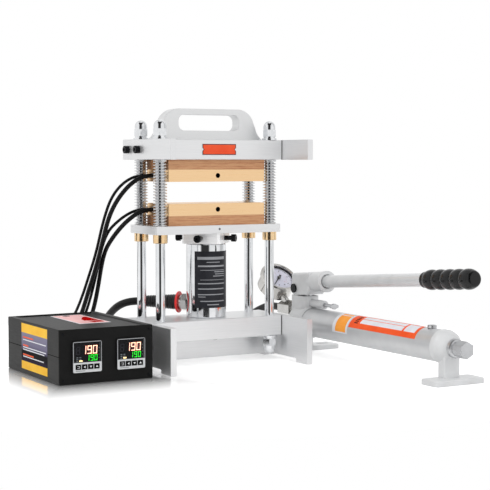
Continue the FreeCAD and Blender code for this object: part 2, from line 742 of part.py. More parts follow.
def hose_sleeves():
    return Part.makeCompound([coupler_ring(), bend_guard()])


# Hand pump

def reservoir_tube():
    length = TUBE_BACK - TUBE_FRONT
    outer = rod(TUBE_R, length, PUMP_X, TUBE_FRONT, TUBE_Z, (0, 1, 0))
    tube = outer.cut(rod(TUBE_R - TUBE_WALL, length, PUMP_X, TUBE_FRONT, TUBE_Z, (0, 1, 0)))
    return tube.cut(rod(VENT_R + 0.2, 20, PUMP_X, VENT_Y, TUBE_Z + TUBE_R - 10))


def foot_pad(width, y0, y1, corner):
    body = block(PUMP_X - width / 2, PUMP_X + width / 2, y0, y1, 0, FOOT_T)
    body = rounded(body, corner, "z")
    return chamfered(body, 1.5, "x", lambda m: m.z > FOOT_T - 0.1)


def end_foot():
    """The cast end of the reservoir: plug into the tube, domed cap, waisted stem and foot."""
    depth = TUBE_FRONT - CAP_FACE
    inner = TUBE_R - TUBE_WALL - FIT
    profile = [(0, -12), (inner, -12), (inner, 0), (TUBE_R + 1, 0), (TUBE_R + 1, depth * 0.35)]
    profile += [(TUBE_R - 1.5, depth * 0.62), (TUBE_R - 7, depth * 0.88), (TUBE_R - 12, depth), (0, depth)]
    cap = revolved(profile, PUMP_X, TUBE_FRONT, TUBE_Z, (0, -1, 0))
    stem_y = (TUBE_FRONT + CAP_FACE) / 2 - 2
    stem = block(PUMP_X - 15.5, PUMP_X + 15.5, stem_y - 8.5, stem_y + 8.5, FOOT_T - 1, TUBE_Z)
    stem = rounded(stem, 2.5, "z")
    foot = foot_pad(END_FOOT_W, stem_y - 10 - END_FOOT_D / 2, stem_y - 10 + END_FOOT_D / 2, 6.0)
    body = cap.fuse(stem).fuse(foot).removeSplitter()
    return body.cut(rod(PLUG_R + FIT, 60, PUMP_X, CAP_FACE - 1, TUBE_Z, (0, 1, 0)))


def end_plug():
    length = 33.0
    profile = [(0, 0), (14, 0), (15, 1), (15, 7), (14, 8), (11.5, 9), (11.5, length - 19), (0, length - 19)]
    flange = revolved(profile, PUMP_X, CAP_FACE, TUBE_Z, (0, -1, 0))
    hexa = hexagon(24, 19, PUMP_X, CAP_FACE - length + 19, TUBE_Z, (0, -1, 0), 30)
    stub = rod(PLUG_R, 20, PUMP_X, CAP_FACE, TUBE_Z, (0, 1, 0))
    return hexa.fuse(flange).fuse(stub).removeSplitter()


def vent_screw():
    """The slotted filler screw on top of the reservoir."""
    top = TUBE_Z + TUBE_R + 0.05
    profile = [(0, -8), (VENT_R, -8), (VENT_R, 0), (7.5, 0), (7.5, 3.6), (6.5, 4.6), (0, 4.6)]
    body = revolved(profile, PUMP_X, VENT_Y, top)
    return body.cut(block(PUMP_X - 10, PUMP_X + 10, VENT_Y - 0.8, VENT_Y + 0.8, top + 2.6, top + 6))


def reservoir_plugs():
    return Part.makeCompound([end_plug(), vent_screw()])


def pump_head():
    """The cast head: collar round the reservoir, rounded valve block, pivot lug and stem."""
    length = HEAD_BACK - HEAD_FRONT
    collar = [(0, 0), (COLLAR_R - 2, 0), (COLLAR_R, 2), (COLLAR_R, length * 0.7)]
    collar += [(COLLAR_R - 2, length * 0.85), (COLLAR_R - 7, length), (0, length)]
    body = revolved(collar, PUMP_X, HEAD_FRONT, TUBE_Z, (0, 1, 0))
    half = HEAD_W / 2
    valve = block(PUMP_X - half, PUMP_X + half, HEAD_FRONT + 2, HEAD_BACK - 2, TUBE_Z, HEAD_TOP)
    valve = rounded(valve, 12.0, "z", lambda m: m.y < 0)
    valve = rounded(valve, 6.0, "z", lambda m: m.y > 0)
    outlet = rod(14.5, 12, PUMP_X, HEAD_BACK - 12, ADAPTER_Z, (0, 1, 0))
    nose = rod(RELEASE_R, RELEASE_L + 8, PUMP_X, HEAD_FRONT + 8, RELEASE_Z, (0, -1, 0))
    side = LUG_W / 2
    lug = block(PUMP_X - side, PUMP_X + side, PIVOT_Y - LUG_R, PIVOT_Y + LUG_R, HEAD_TOP - 2, PIVOT_Z)
    lug = lug.fuse(rod(LUG_R, LUG_W, PUMP_X - LUG_W / 2, PIVOT_Y, PIVOT_Z, (1, 0, 0)))
    stem = block(PUMP_X - 20, PUMP_X + 20, 18, 38, FOOT_T, TUBE_Z)
    stem = rounded(stem, 4.0, "z")
    body = body.fuse([valve, outlet, nose, lug, stem]).removeSplitter()
    body = body.cut(rod(TUBE_R + FIT, 100, PUMP_X, TUBE_BACK, TUBE_Z, (0, -1, 0)))
    body = body.cut(rod(PLUNGER_R + 0.2, 60, PUMP_X, PLUNGER_Y, PLUNGER_Z - 2))
    body = body.cut(rod(THREAD_R - 1.5 + FIT, 12, PUMP_X, HEAD_BACK - 10.5, ADAPTER_Z, (0, 1, 0)))
    body = body.cut(rod(PIN_R + FIT, 60, PUMP_X - 30, PIVOT_Y, PIVOT_Z, (1, 0, 0)))
    return body.cut(rod(KNOB_SHAFT_R + 0.3, 20, PUMP_X, HEAD_FRONT - RELEASE_L - 0.01, RELEASE_Z, (0, 1, 0)))


def head_foot():
    """The plate under the head, with a bolt slot on each side and a screw up into the stem."""
    body = foot_pad(HEAD_FOOT_W, *HEAD_FOOT_Y, 8.0)
    length, width = FOOT_SLOT
    y = sum(HEAD_FOOT_Y) / 2
    for side in (-1, 1):
        x = PUMP_X + side * FOOT_SLOT_X
        slot = block(x - length / 2, x + length / 2, y - width / 2, y + width / 2, -1, FOOT_T + 1)
        body = body.cut(rounded(slot, width / 2 - 0.05, "z"))
    return body


def plunger():
    """The pump's plunger, its eye and cross pin standing free inside the lever block."""
    rise = PIVOT_Z - PLUNGER_Z
    profile = [(0, 0), (PLUNGER_R, 0), (PLUNGER_R, rise - 9), (PLUNGER_R - 1.5, rise - 7), (5, rise - 2)]
    body = revolved(profile + [(0, rise - 2)], PUMP_X, PLUNGER_Y, PLUNGER_Z)
    eye = rod(EYE_R, EYE_W, PUMP_X - EYE_W / 2, PLUNGER_Y, PIVOT_Z, (1, 0, 0))
    pin = rod(3.5, CHANNEL_ROOM - 2, PUMP_X - CHANNEL_ROOM / 2 + 1, PLUNGER_Y, PIVOT_Z, (1, 0, 0))
    return body.fuse([eye, pin]).removeSplitter()


def lever_way():
    angle = math.radians(LEVER_TILT)
    return V(0, -math.cos(angle), math.sin(angle))


def on_lever(y):
    """The point of the lever's axis above a place along the pump."""
    return V(PUMP_X, y, LEVER_AXIS_Z - math.tan(math.radians(LEVER_TILT)) * y)


def along_lever(shape):
    """Turns a shape that was made level, about the lever axis at Y=0, to the lever's tilt."""
    return shape.rotated(V(PUMP_X, 0, LEVER_AXIS_Z), V(-1, 0, 0), LEVER_TILT)


def lever_block():
    """The cast lever block: a channel open below over pivot and plunger, then the round socket."""
    z, half = LEVER_AXIS_Z, CHANNEL_W / 2
    rear, cheek = PIVOT_Y + LUG_R + 4.0, LUG_R + 2.4
    channel = block(PUMP_X - half, PUMP_X + half, -20, rear, PIVOT_Z, z + 17.5)
    channel = rounded(channel, 5.0, "y", lambda m: m.z > z)
    channel = rounded(channel, 8.0, "x", lambda m: m.y > PIVOT_Y and m.z > z)
    low = block(PUMP_X - half, PUMP_X + half, -20, PIVOT_Y, PIVOT_Z - cheek + 1.5, PIVOT_Z)
    low = chamfered(low, 6.0, "x", lambda m: m.y < 0 and m.z < PIVOT_Z - 1)
    socket = rod(SOCKET_R, -SOCKET_FACE - 14, PUMP_X, -14, z, (0, -1, 0))
    lip = rod(SOCKET_R + 1.0, 5, PUMP_X, SOCKET_FACE + 5, z, (0, -1, 0))
    body = channel.fuse([low, socket, lip]).removeSplitter()
    room = block(PUMP_X - CHANNEL_ROOM / 2, PUMP_X + CHANNEL_ROOM / 2, -14, rear + 10, 80, z + 10.5)
    body = along_lever(body.cut(rounded(room, 4.0, "y", lambda m: m.z > z)))
    body = body.fuse(rod(cheek, half * 2, PUMP_X - half, PIVOT_Y, PIVOT_Z, (1, 0, 0)))
    body = body.cut(along_lever(room))
    mouth, way = on_lever(SOCKET_FACE), lever_way()
    body = body.cut(rod(LEVER_R + FIT, LEVER_SEAT + 0.5, mouth.x, mouth.y, mouth.z, way * -1))
    body = body.cut(rod(LEVER_R + 1.8, 5, mouth.x, mouth.y, mouth.z, way * -1))
    return body.cut(rod(PIN_R + FIT, 60, PUMP_X - 30, PIVOT_Y, PIVOT_Z, (1, 0, 0))).removeSplitter()


def lever_tube():
    mouth, way = on_lever(SOCKET_FACE), lever_way()
    start = mouth - way * LEVER_SEAT
    length = (start - on_lever(LEVER_END)).Length
    outer = rod(LEVER_R, length, start.x, start.y, start.z, way)
    return outer.cut(rod(LEVER_R - LEVER_WALL, length, start.x, start.y, start.z, way))


def lever_grip():
    """A moulded grip with five round ribs and a blunt end that closes over the tube."""
    start = on_lever(GRIP_FIRST + GRIP_COLLAR)
    ahead = (start - on_lever(GRIP_FIRST)).Length
    inner = LEVER_R + FIT
    depth = (start - on_lever(LEVER_END)).Length + 0.2

    def at(radius, length):
        return V(radius, 0, length)

    edges = [Part.LineSegment(at(inner, 0), at(inner + 2, 0)).toShape()]
    edges.append(Part.LineSegment(at(inner + 2, 0), at(inner + 2, 3)).toShape())
    last = at(GRIP_NECK_R - 0.6, ahead - GRIP_PITCH / 2)
    edges.append(Part.LineSegment(at(inner + 2, 3), last).toShape())
    for i in range(GRIP_RIBS):
        middle = ahead + i * GRIP_PITCH
        end = at(GRIP_NECK_R, middle + GRIP_PITCH / 2)
        edges.append(Part.Arc(last, at(GRIP_R, middle), end).toShape())
        last = end
    tip = last + V(-6.0, 0, 4.5)
    edges.append(Part.Arc(last, last + V(-2.0, 0, 3.2), tip).toShape())
    edges.append(Part.LineSegment(tip, at(0, tip.z)).toShape())
    edges.append(Part.LineSegment(at(0, tip.z), at(0, depth)).toShape())
    edges.append(Part.LineSegment(at(0, depth), at(inner, depth)).toShape())
    edges.append(Part.LineSegment(at(inner, depth), at(inner, 0)).toShape())
    solid = Part.Face(Part.Wire(edges)).revolve(V(0, 0, 0), V(0, 0, 1), 360)
    solid.Placement = FreeCAD.Placement(start, FreeCAD.Rotation(V(0, 0, 1), lever_way()))
    return solid


def pivot_pin():
    """The lever's pivot pin: round head on one side, a retaining ring on the other."""
    side = CHANNEL_W / 2
    length = 2 * side
    profile = [(0, -3), (8, -3), (8, -0.3), (PIN_R, -0.3), (PIN_R, length + 0.3), (6.6, length + 0.3)]
    profile += [(6.6, length + 1.8), (PIN_R, length + 1.8), (PIN_R, length + 3.5), (0, length + 3.5)]
    return revolved(profile, PUMP_X - side, PIVOT_Y, PIVOT_Z, (1, 0, 0))


def release_knob():
    """The release screw in front of the head: a thin spindle with a flat two-winged grip."""
    start = HEAD_FRONT - RELEASE_L + 16
    reach = KNOB_REACH
    profile = [(0, 0), (KNOB_SHAFT_R, 0), (KNOB_SHAFT_R, reach), (5.0, reach + 1.5), (5.0, reach + 6.5)]
    body = revolved(profile + [(0, reach + 6.5)], PUMP_X, start, RELEASE_Z, (0, -1, 0))
    y = start - reach
    wing = block(PUMP_X - KNOB_WING, PUMP_X + KNOB_WING, y - 6.5, y - 1.5, RELEASE_Z - 3, RELEASE_Z + 3)
    return body.fuse(rounded(wing, 2.4, "y")).removeSplitter()


# Pressure gauge

def on_gauge(shape):
    """Places a shape made about the gauge's middle: X right, Y up the dial, Z out of its face."""
    middle = gauge_port() - gauge_way() * GAUGE_REACH
    shape.Placement = FreeCAD.Placement(middle, FreeCAD.Rotation(V(1, 0, 0), 90 - GAUGE_TILT))
    return shape


def gauge_front():
    return GAUGE_DEPTH / 2 + 2.0


def gauge_case():
    """Round case with a wide bezel, a spindle for the needle and a hexagon stem below."""
    front = gauge_front()
    back = front - GAUGE_DEPTH
    floor = front - DIAL_DEPTH - 1.0
    case = [(0, back), (GAUGE_R - 3, back), (GAUGE_R, back + 3), (GAUGE_R, front - 9), (BEZEL_R, front - 7)]
    case += [(BEZEL_R, front - 2), (BEZEL_R - 2, front), (WINDOW_R + 1, front), (WINDOW_R, front - 1)]
    case += [(WINDOW_R, floor), (1.5, floor), (1.5, floor + 2.2), (0, floor + 2.2)]
    body = revolved(case, 0, 0, 0)
    stem = rod(STEM_R, 14, 0, -GAUGE_REACH, 0, (0, 1, 0))
    neck = hexagon(14, 8, 0, -GAUGE_REACH + 2, 0, (0, 1, 0))
    return on_gauge(body.fuse([stem, neck]).removeSplitter())


def gauge_needle():
    """A tapered pointer on a round hub over the spindle, resting towards the lower left."""
    low = gauge_front() - DIAL_DEPTH - 1.0 + 2.5
    points = [(-1.4, -8), (1.4, -8), (0.4, 25), (-0.4, 25)]
    pointer = face_of(points, "xy", low).extrude(V(0, 0, 0.8))
    body = pointer.fuse(rod(3.4, 1.8, 0, 0, low)).removeSplitter()
    return on_gauge(body.rotated(V(0, 0, 0), V(0, 0, 1), NEEDLE_REST))


def gauge_lens():
    return on_gauge(rod(WINDOW_R - FIT, 1.5, 0, 0, gauge_front() - 2.3))


# Controller box

def case_back():
    return BOX_FRONT + BOX_D - PANEL_T


def case_shell(outline):
    body = face_of(outline, "xz").extrude(V(0, BOX_D - 2 * PANEL_T, 0))
    body.translate(V(BOX_X, BOX_FRONT + PANEL_T, 0))
    return body


def case_top():
    """The upper half of the extruded case, with a raised rim along both sides of its lid."""
    w, h, t, r = BOX_W, BOX_H, BOX_WALL, RIM_W
    outline = [(0, BOX_SEAM), (0, h - 1), (1, h), (r - RIM_H, h), (r, h - RIM_H), (w - r, h - RIM_H)]
    outline += [(w - r + RIM_H, h), (w - 1, h), (w, h - 1), (w, BOX_SEAM), (w - t, BOX_SEAM)]
    outline += [(w - t, h - RIM_H - t), (t, h - RIM_H - t), (t, BOX_SEAM)]
    return case_shell(outline)


def case_bottom():
    w, t = BOX_W, BOX_WALL
    outline = [(0, BOX_SEAM), (0, 1), (1, 0), (w - 1, 0), (w, 1), (w, BOX_SEAM)]
    outline += [(w - t, BOX_SEAM), (w - t, t), (t, t), (t, BOX_SEAM)]
    return case_shell(outline)


def panel(y):
    body = block(BOX_X, BOX_X + BOX_W, y, y + PANEL_T, 0, BOX_H)
    return chamfered(body, 1.0, "y")


def front_panel():
    body = panel(BOX_FRONT)
    for offset in BEZEL_X:
        x = BOX_X + offset + (BEZEL - BEZEL_BODY) / 2
        z = BEZEL_Z + (BEZEL - BEZEL_BODY) / 2
        body = body.cut(block(x, x + BEZEL_BODY, BOX_FRONT - 1, BOX_FRONT + 9, z, z + BEZEL_BODY))
    return body


def plug_places():
    return [(x, z) for x in PLUG_X for z in PLUG_Z]


def rear_panel():
    back = case_back()
    body = panel(back)
    for x, z in plug_places():
        body = body.cut(rod(8.0, 20, x, back - 5, z, (0, 1, 0)))
    body = body.cut(block(INLET_X - 13.5, INLET_X + 13.5, back - 1, back + 9, INLET_Z - 10, INLET_Z + 10))
    return body.cut(block(INLET_X - 11, INLET_X + 11, back - 1, back + 9, ROCKER_Z - 7, ROCKER_Z + 7))


def controller(offset):
    """One panel controller: body through the panel, bezel with sunk window and four key pockets."""
    x, z = BOX_X + offset, BEZEL_Z
    front = BOX_FRONT - BEZEL_PROUD
    bezel = block(x, x + BEZEL, front, BOX_FRONT, z, z + BEZEL)
    bezel = chamfered(bezel, 1.5, "y")
    inset = (BEZEL - BEZEL_BODY) / 2
    case = block(x + inset, x + BEZEL - inset, BOX_FRONT - 1, BOX_FRONT + BEZEL_BODY_D,
                 z + inset, z + BEZEL - inset)
    body = bezel.fuse(case).removeSplitter()
    body = body.cut(block(x + 2.6, x + BEZEL - 2.6, front - 1, front + 1.6, z + 15.6, z + BEZEL - 2.6))
    for i in range(4):
        left = x + key_left(i) - 0.3
        pocket = block(left, left + KEY_W + 0.6, front - 1, front + KEY_T + 0.8,
                       z + KEY_Z - 0.3, z + KEY_Z + KEY_H + 0.3)
        body = body.cut(pocket)
    return body


def controllers():
    return Part.makeCompound([controller(offset) for offset in BEZEL_X])


def key_left(i):
    return BEZEL / 2 + (i - 1.5) * KEY_PITCH - KEY_W / 2


def key(offset, i):
    x = BOX_X + offset + key_left(i)
    front = BOX_FRONT - BEZEL_PROUD - KEY_PROUD
    z = BEZEL_Z + KEY_Z
    body = block(x, x + KEY_W, front, front + KEY_T, z, z + KEY_H)
    return chamfered(body, 0.4, "x", lambda m: m.y < front + 0.1)


def cable_plug(x, z, lead):
    """A round panel connector with its flange, knurled sleeve and tapered strain relief."""
    start = case_back() - 4
    back = case_back() + PANEL_T
    profile = [(0, 0), (7.9, 0), (7.9, back - start), (11, back - start), (11, back - start + 2.5)]
    profile += [(8.4, back - start + 2.5), (8.4, 16), (9.2, 17), (9.2, 32), (8, 34)]
    profile += [(6.4, 36), (lead / 2 + 1, PLUG_END - start), (0, PLUG_END - start)]
    return revolved(profile, x, start, z, (0, 1, 0))


def mains_inlet():
    """A panel inlet for a mains lead: flanged shroud with a six-sided cavity and three pins."""
    back = case_back() + PANEL_T
    flange = block(INLET_X - 16, INLET_X + 16, back, back + 2.5, INLET_Z - 12.5, INLET_Z + 12.5)
    flange = rounded(flange, 3.0, "y")
    shroud = block(INLET_X - 13.4, INLET_X + 13.4, back - 17, back + 1, INLET_Z - 9.9, INLET_Z + 9.9)
    mouth = [(-12, -8), (12, -8), (12, 3.5), (7.5, 8), (-7.5, 8), (-12, 3.5)]
    cavity = face_of([(INLET_X + a, INLET_Z + b) for a, b in mouth], "xz", back - 14.5)
    body = flange.fuse(shroud).cut(cavity.extrude(V(0, 30, 0)))
    for x, z in ((-7, -2), (7, -2), (0, 3)):
        pin = block(INLET_X + x - 1, INLET_X + x + 1, back - 15, back - 5, INLET_Z + z - 2, INLET_Z + z + 2)
        body = body.fuse(pin)
    return body.removeSplitter()


def rocker_frame():
    back = case_back() + PANEL_T
    flange = block(INLET_X - 12.5, INLET_X + 12.5, back, back + 1.5, ROCKER_Z - 8.5, ROCKER_Z + 8.5)
    shell = block(INLET_X - 10.9, INLET_X + 10.9, back - 14, back + 1, ROCKER_Z - 6.9, ROCKER_Z + 6.9)
    room = block(INLET_X - 9.4, INLET_X + 9.4, back - 11, back + 9, ROCKER_Z - 5.6, ROCKER_Z + 5.6)
    pin = rod(ROCKER_PIN_R, 12, INLET_X, back - 2, ROCKER_Z - 6)
    return flange.fuse(shell).cut(room).fuse(pin).removeSplitter()


def rear_connectors():
    """The four cable plugs, the mains inlet and the frame of the power switch."""
    leads = {PLUG_X[0]: POWER_D, PLUG_X[1]: PROBE_D}
    pieces = [cable_plug(x, z, leads[x]) for x, z in plug_places()]
    return Part.makeCompound(pieces + [mains_inlet(), rocker_frame()])


def power_rocker():
    """The rocker of the power switch, tipped to its on side about a pivot across its frame."""
    back = case_back() + PANEL_T
    points = [(-8.6, -5), (8.6, -5), (8.6, 1.6), (0, 0.6), (-8.6, 1.6)]
    body = face_of(points, "xy", ROCKER_Z - 5.3).extrude(V(0, 0, 10.6))
    body.translate(V(INLET_X, back + 0.8, 0))
    body = body.cut(rod(ROCKER_PIN_R + FIT, 20, INLET_X, back - 2, ROCKER_Z - 10))
    return body.rotated(V(INLET_X, back - 2, ROCKER_Z), V(0, 0, 1), ROCKER_TILT)


# Hose and cables

def cord(name, places, diameter):
    """A round tube along straight runs joined by tangent arcs, as large as the runs allow."""
    points = [V(*p) for p in places]
    edges, radii, length = [], [], 0.0
    last = points[0]
    for before, at, after in zip(points, points[1:], points[2:]):
        come, go = before - at, after - at
        run = min(come.Length, go.Length)
        half_turn = (math.pi - come.getAngle(go)) / 2
        radius = 0.45 * run / math.tan(half_turn)
        come.normalize()
        go.normalize()
        start, end = at + come * (0.45 * run), at + go * (0.45 * run)
        inward = come + go
        inward.normalize()
        depth = radius / math.cos(half_turn) - radius
        middle = at + inward * depth
        edges.append(Part.LineSegment(last, start).toShape())
        edges.append(Part.Arc(start, middle, end).toShape())
        radii.append(radius)
        last = end
    edges.append(Part.LineSegment(last, points[-1]).toShape())
    path = Part.Wire(edges)
    length = path.Length
    way = points[1] - points[0]
    section = Part.Wire(Part.makeCircle(diameter / 2, points[0], way))
    shell = Part.BRepOffsetAPI.MakePipeShell(path)
    shell.add(section)
    shell.build()
    shell.makeSolid()
    solid = shell.shape()
    share = solid.Volume / (math.pi * diameter**2 / 4 * length)
    print(name, "length", round(length), "volume share", round(share, 4))
    print("  radii", " ".join(str(round(r)) for r in radii), "diameter", diameter)
    return solid


def pieces():
    """Every sub-part by its name."""
    made = {
        "base_beam": base_beam(),
        "left_foot_plate": foot_plate(-1),
        "right_foot_plate": foot_plate(1),
        "center_web": center_web(),
        "top_beam": top_beam(),
        "left_wing_plate": wing_plate(-1),
        "right_wing_plate": wing_plate(1),
        "guide_posts": guide_posts(),
        "post_nuts": post_nuts(),
        "frame_screws": frame_screws(),
        "carry_handle": carry_handle(),
        "upper_insulator": insulator(UPPER_INSULATOR_Z),
        "upper_heat_plate": heat_plate(UPPER_PLATE_Z),
        "upper_heater": upper_heater(),
        "return_springs": return_springs(),
        "cylinder_body": cylinder_body(),
        "moving_plate": moving_plate(),
        "guide_bushings": guide_bushings(),
        "lower_insulator": insulator(LOWER_INSULATOR_Z),
        "lower_heat_plate": heat_plate(LOWER_PLATE_Z),
        "lower_heater": lower_heater(),
        "ram_collar": ram_collar(),
        "collar_screws": collar_screws(),
        "ram": ram(),
        "hose_couplers": hose_couplers(),
        "hose_sleeves": hose_sleeves(),
        "pump_head": pump_head(),
        "head_foot": head_foot(),
        "reservoir_tube": reservoir_tube(),
        "end_foot": end_foot(),
        "reservoir_plugs": reservoir_plugs(),
        "plunger": plunger(),
        "lever_block": lever_block(),
        "lever_tube": lever_tube(),
        "lever_grip": lever_grip(),
        "pivot_pin": pivot_pin(),
        "release_knob": release_knob(),
        "gauge_case": gauge_case(),
        "gauge_needle": gauge_needle(),
        "gauge_lens": gauge_lens(),
        "case_top": case_top(),
        "case_bottom": case_bottom(),
        "front_panel": front_panel(),
        "rear_panel": rear_panel(),
        "controllers": controllers(),
        "rear_connectors": rear_connectors(),
        "power_rocker": power_rocker(),
    }
    for side, offset in zip(("left", "right"), BEZEL_X):
        for i, use in enumerate(("set", "shift", "down", "up")):
            made[side + "_" + use + "_key"] = key(offset, i)
    return made


def cords():
    return {
        "upper_power_cable": cord("upper_power_cable", UPPER_POWER, POWER_D),
        "lower_power_cable": cord("lower_power_cable", LOWER_POWER, POWER_D),
        "upper_probe_cable": cord("upper_probe_cable", UPPER_PROBE, PROBE_D),
        "lower_probe_cable": cord("lower_probe_cable", LOWER_PROBE, PROBE_D),
        "pressure_hose": cord("pressure_hose", HOSE, HOSE_D),
    }


def write(made, loose):
    """Moves the set so that its origin is the middle of its footprint, and writes every piece."""
    os.makedirs("parts", exist_ok=True)
    box = FreeCAD.BoundBox()
    for shape in made.values():
        box.add(shape.optimalBoundingBox(False, False))
    move = V(-box.Center.x, -box.Center.y, -box.ZMin)
    print("moved by", [round(a, 3) for a in move], "size", round(box.XLength, 1),
          round(box.YLength, 1), round(box.ZLength, 1))
    for name, shape in {**made, **loose}.items():
        shape.translate(move)
        shape.exportStep("parts/" + name + ".step")
        if not shape.isValid() or not shape.Solids:
            print("check", name, shape.isValid(), len(shape.Solids))


write(pieces(), cords())
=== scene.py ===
"""Looks of the hydraulic heat press set: metals, paint, wood and rubber on the CAD frame, and the
leads, springs, gauge dial, displays and stickers that are made here."""

import math

import bmesh
import bpy
from mathutils import Matrix, Vector


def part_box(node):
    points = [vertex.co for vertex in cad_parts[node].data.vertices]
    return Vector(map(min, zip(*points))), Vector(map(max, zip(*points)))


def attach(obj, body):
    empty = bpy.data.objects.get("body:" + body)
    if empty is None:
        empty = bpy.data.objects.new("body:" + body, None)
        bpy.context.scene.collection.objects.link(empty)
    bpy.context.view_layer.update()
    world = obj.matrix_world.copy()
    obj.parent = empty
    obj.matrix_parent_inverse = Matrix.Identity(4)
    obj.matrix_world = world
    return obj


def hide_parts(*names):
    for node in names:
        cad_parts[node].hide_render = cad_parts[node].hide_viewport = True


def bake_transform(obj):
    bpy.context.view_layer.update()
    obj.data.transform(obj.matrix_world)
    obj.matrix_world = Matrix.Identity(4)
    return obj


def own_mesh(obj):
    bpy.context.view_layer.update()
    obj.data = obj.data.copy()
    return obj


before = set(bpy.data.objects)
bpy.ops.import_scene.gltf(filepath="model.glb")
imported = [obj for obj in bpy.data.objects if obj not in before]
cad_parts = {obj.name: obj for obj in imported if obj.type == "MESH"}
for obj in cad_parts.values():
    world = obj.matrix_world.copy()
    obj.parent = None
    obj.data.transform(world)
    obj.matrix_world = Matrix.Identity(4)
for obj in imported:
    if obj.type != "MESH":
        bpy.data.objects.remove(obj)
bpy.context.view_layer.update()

MM = 0.001
plate_low, plate_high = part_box("upper_heat_plate")
MIDDLE_X = (plate_low.x + plate_high.x) / 2
MIDDLE_Y = (plate_low.y + plate_high.y) / 2


def at(x, y, z):
    """A point given in millimetres from the press's middle, on the bench."""
    return Vector((MIDDLE_X + x * MM, MIDDLE_Y + y * MM, z * MM))


def add(tree, kind, inputs=(), stops=(), **settings):
    """Adds a node with its settings. Inputs are named, or in the node's own order; each is a value, a socket
    to link, or a node for its first output. Stops of a colour ramp pair a place with a hex colour."""
    made = tree.nodes.new(kind)
    for key, value in settings.items():
        setattr(made, key, value)
    for key, value in inputs.items() if isinstance(inputs, dict) else enumerate(inputs):
        if isinstance(value, bpy.types.Node):
            value = value.outputs[0]
        if isinstance(value, bpy.types.NodeSocket):
            tree.links.new(value, made.inputs[key])
        else:
            made.inputs[key].default_value = value
    for i, (place, colour) in enumerate(stops):
        element = made.color_ramp.elements[i] if i < 2 else made.color_ramp.elements.new(place)
        element.position = place
        element.color = hue(colour)
    return made


def hue(text):
    """An sRGB hex colour as linear RGBA."""
    parts = [int(text[i:i + 2], 16) / 255 for i in (1, 3, 5)]
    return (*(c / 12.92 if c <= 0.04045 else ((c + 0.055) / 1.055) ** 2.4 for c in parts), 1.0)


def show(name, data):
    made = bpy.data.objects.new(name, data)
    bpy.context.scene.collection.objects.link(made)
    return made


def evaluated_mesh(host):
    """What an object's text or nodes make, as a plain mesh."""
    bpy.context.view_layer.update()
    return bpy.data.meshes.new_from_object(host.evaluated_get(bpy.context.evaluated_depsgraph_get()))


def closed_mesh(name, shape):
    """The mesh of a gathered shape, with its faces turned outwards."""
    bmesh.ops.recalc_face_normals(shape, faces=shape.faces)
    mesh = bpy.data.meshes.new(name)
    shape.to_mesh(mesh)
    shape.free()
    return mesh


# Camera, at the photograph's angle

CAMERA_AT = (-1145.46, -2116.99, 346.81)
CAMERA_YAW = math.radians(30.02)
CAMERA_DIP = math.radians(3.469)
CAMERA_LENS = 102.49

ahead = Vector((math.sin(CAMERA_YAW), math.cos(CAMERA_YAW), 0)) * math.cos(CAMERA_DIP)
ahead.z = -math.sin(CAMERA_DIP)
rightward = Vector((math.cos(CAMERA_YAW), -math.sin(CAMERA_YAW), 0))
camera_data = bpy.data.cameras.new("camera")
camera_data.lens = CAMERA_LENS
camera_data.sensor_width = 36
camera_data.clip_end = 50.0
camera = show("camera", camera_data)
turn = Matrix((rightward, rightward.cross(ahead), -ahead)).transposed()
camera.matrix_world = Matrix.Translation(at(*CAMERA_AT)) @ turn.to_4x4()
bpy.context.scene.camera = camera

# Leads and hose: the routes of the CAD source, in millimetres from the press's middle

UPPER_POWER = [
    (-101, 4, 321.25), (-116, 4, 321.25), (-134, 10, 311), (-149, 17.5, 294), (-160, 26, 274),
    (-166.5, 35, 253), (-168.5, 46, 231), (-168, 60, 208), (-168, 77, 180), (-168, 97, 150),
    (-168, 119, 122), (-167, 140, 95), (-166, 160, 72), (-170, 181, 57), (-184, 201, 49),
    (-205, 208, 46), (-224, 200, 46), (-234, 182, 47.5), (-234, 164, 49), (-232, 149, 50),
    (-232, 134, 50),
]
LOWER_POWER = [
    (-101, 4, 263.95), (-117, 4, 263.95), (-133, 11, 254), (-146, 23, 239), (-153.5, 38, 223),
    (-156.5, 54, 209), (-157, 71, 195), (-156, 86, 177), (-154, 100, 156), (-152, 114, 131),
    (-150, 130, 104), (-148.5, 148, 78), (-150, 168, 54), (-157, 187, 36), (-172, 203, 25),
    (-193, 210, 20), (-213, 208, 18.5), (-229, 196, 19), (-234, 178, 21), (-233, 161, 23),
    (-232, 147, 24), (-232, 134, 24),
]
UPPER_PROBE = [
    (-101, 18, 321.25), (-116, 18, 321.25), (-131, 20, 318), (-144.5, 25, 309), (-155, 32, 296),
    (-163, 39, 279), (-168.5, 46, 257), (-171.5, 57, 230), (-171, 73, 202), (-171, 91, 174),
    (-172, 111, 145), (-172.5, 132, 116), (-173, 153, 91), (-174.5, 171, 71), (-181.5, 183, 58),
    (-195, 185, 52), (-206.5, 175.5, 50), (-207.5, 160.5, 49.5), (-206, 147, 50), (-206, 134, 50),
]
LOWER_PROBE = [
    (-101, 18, 263.95), (-116, 18, 263.95), (-130, 21, 260.5), (-143, 28, 252), (-153, 38, 241),
    (-160, 50, 229), (-163, 62, 213), (-163, 78, 191), (-162, 92, 168), (-160.5, 108, 142),
    (-159.5, 126, 115), (-159, 146, 87), (-160, 166, 62), (-165.5, 182, 45), (-177, 191, 33),
    (-192, 189, 26), (-203, 179, 23.5), (-207, 165, 23), (-207, 152, 23.5), (-206, 142, 24),
    (-206, 134, 24),
]
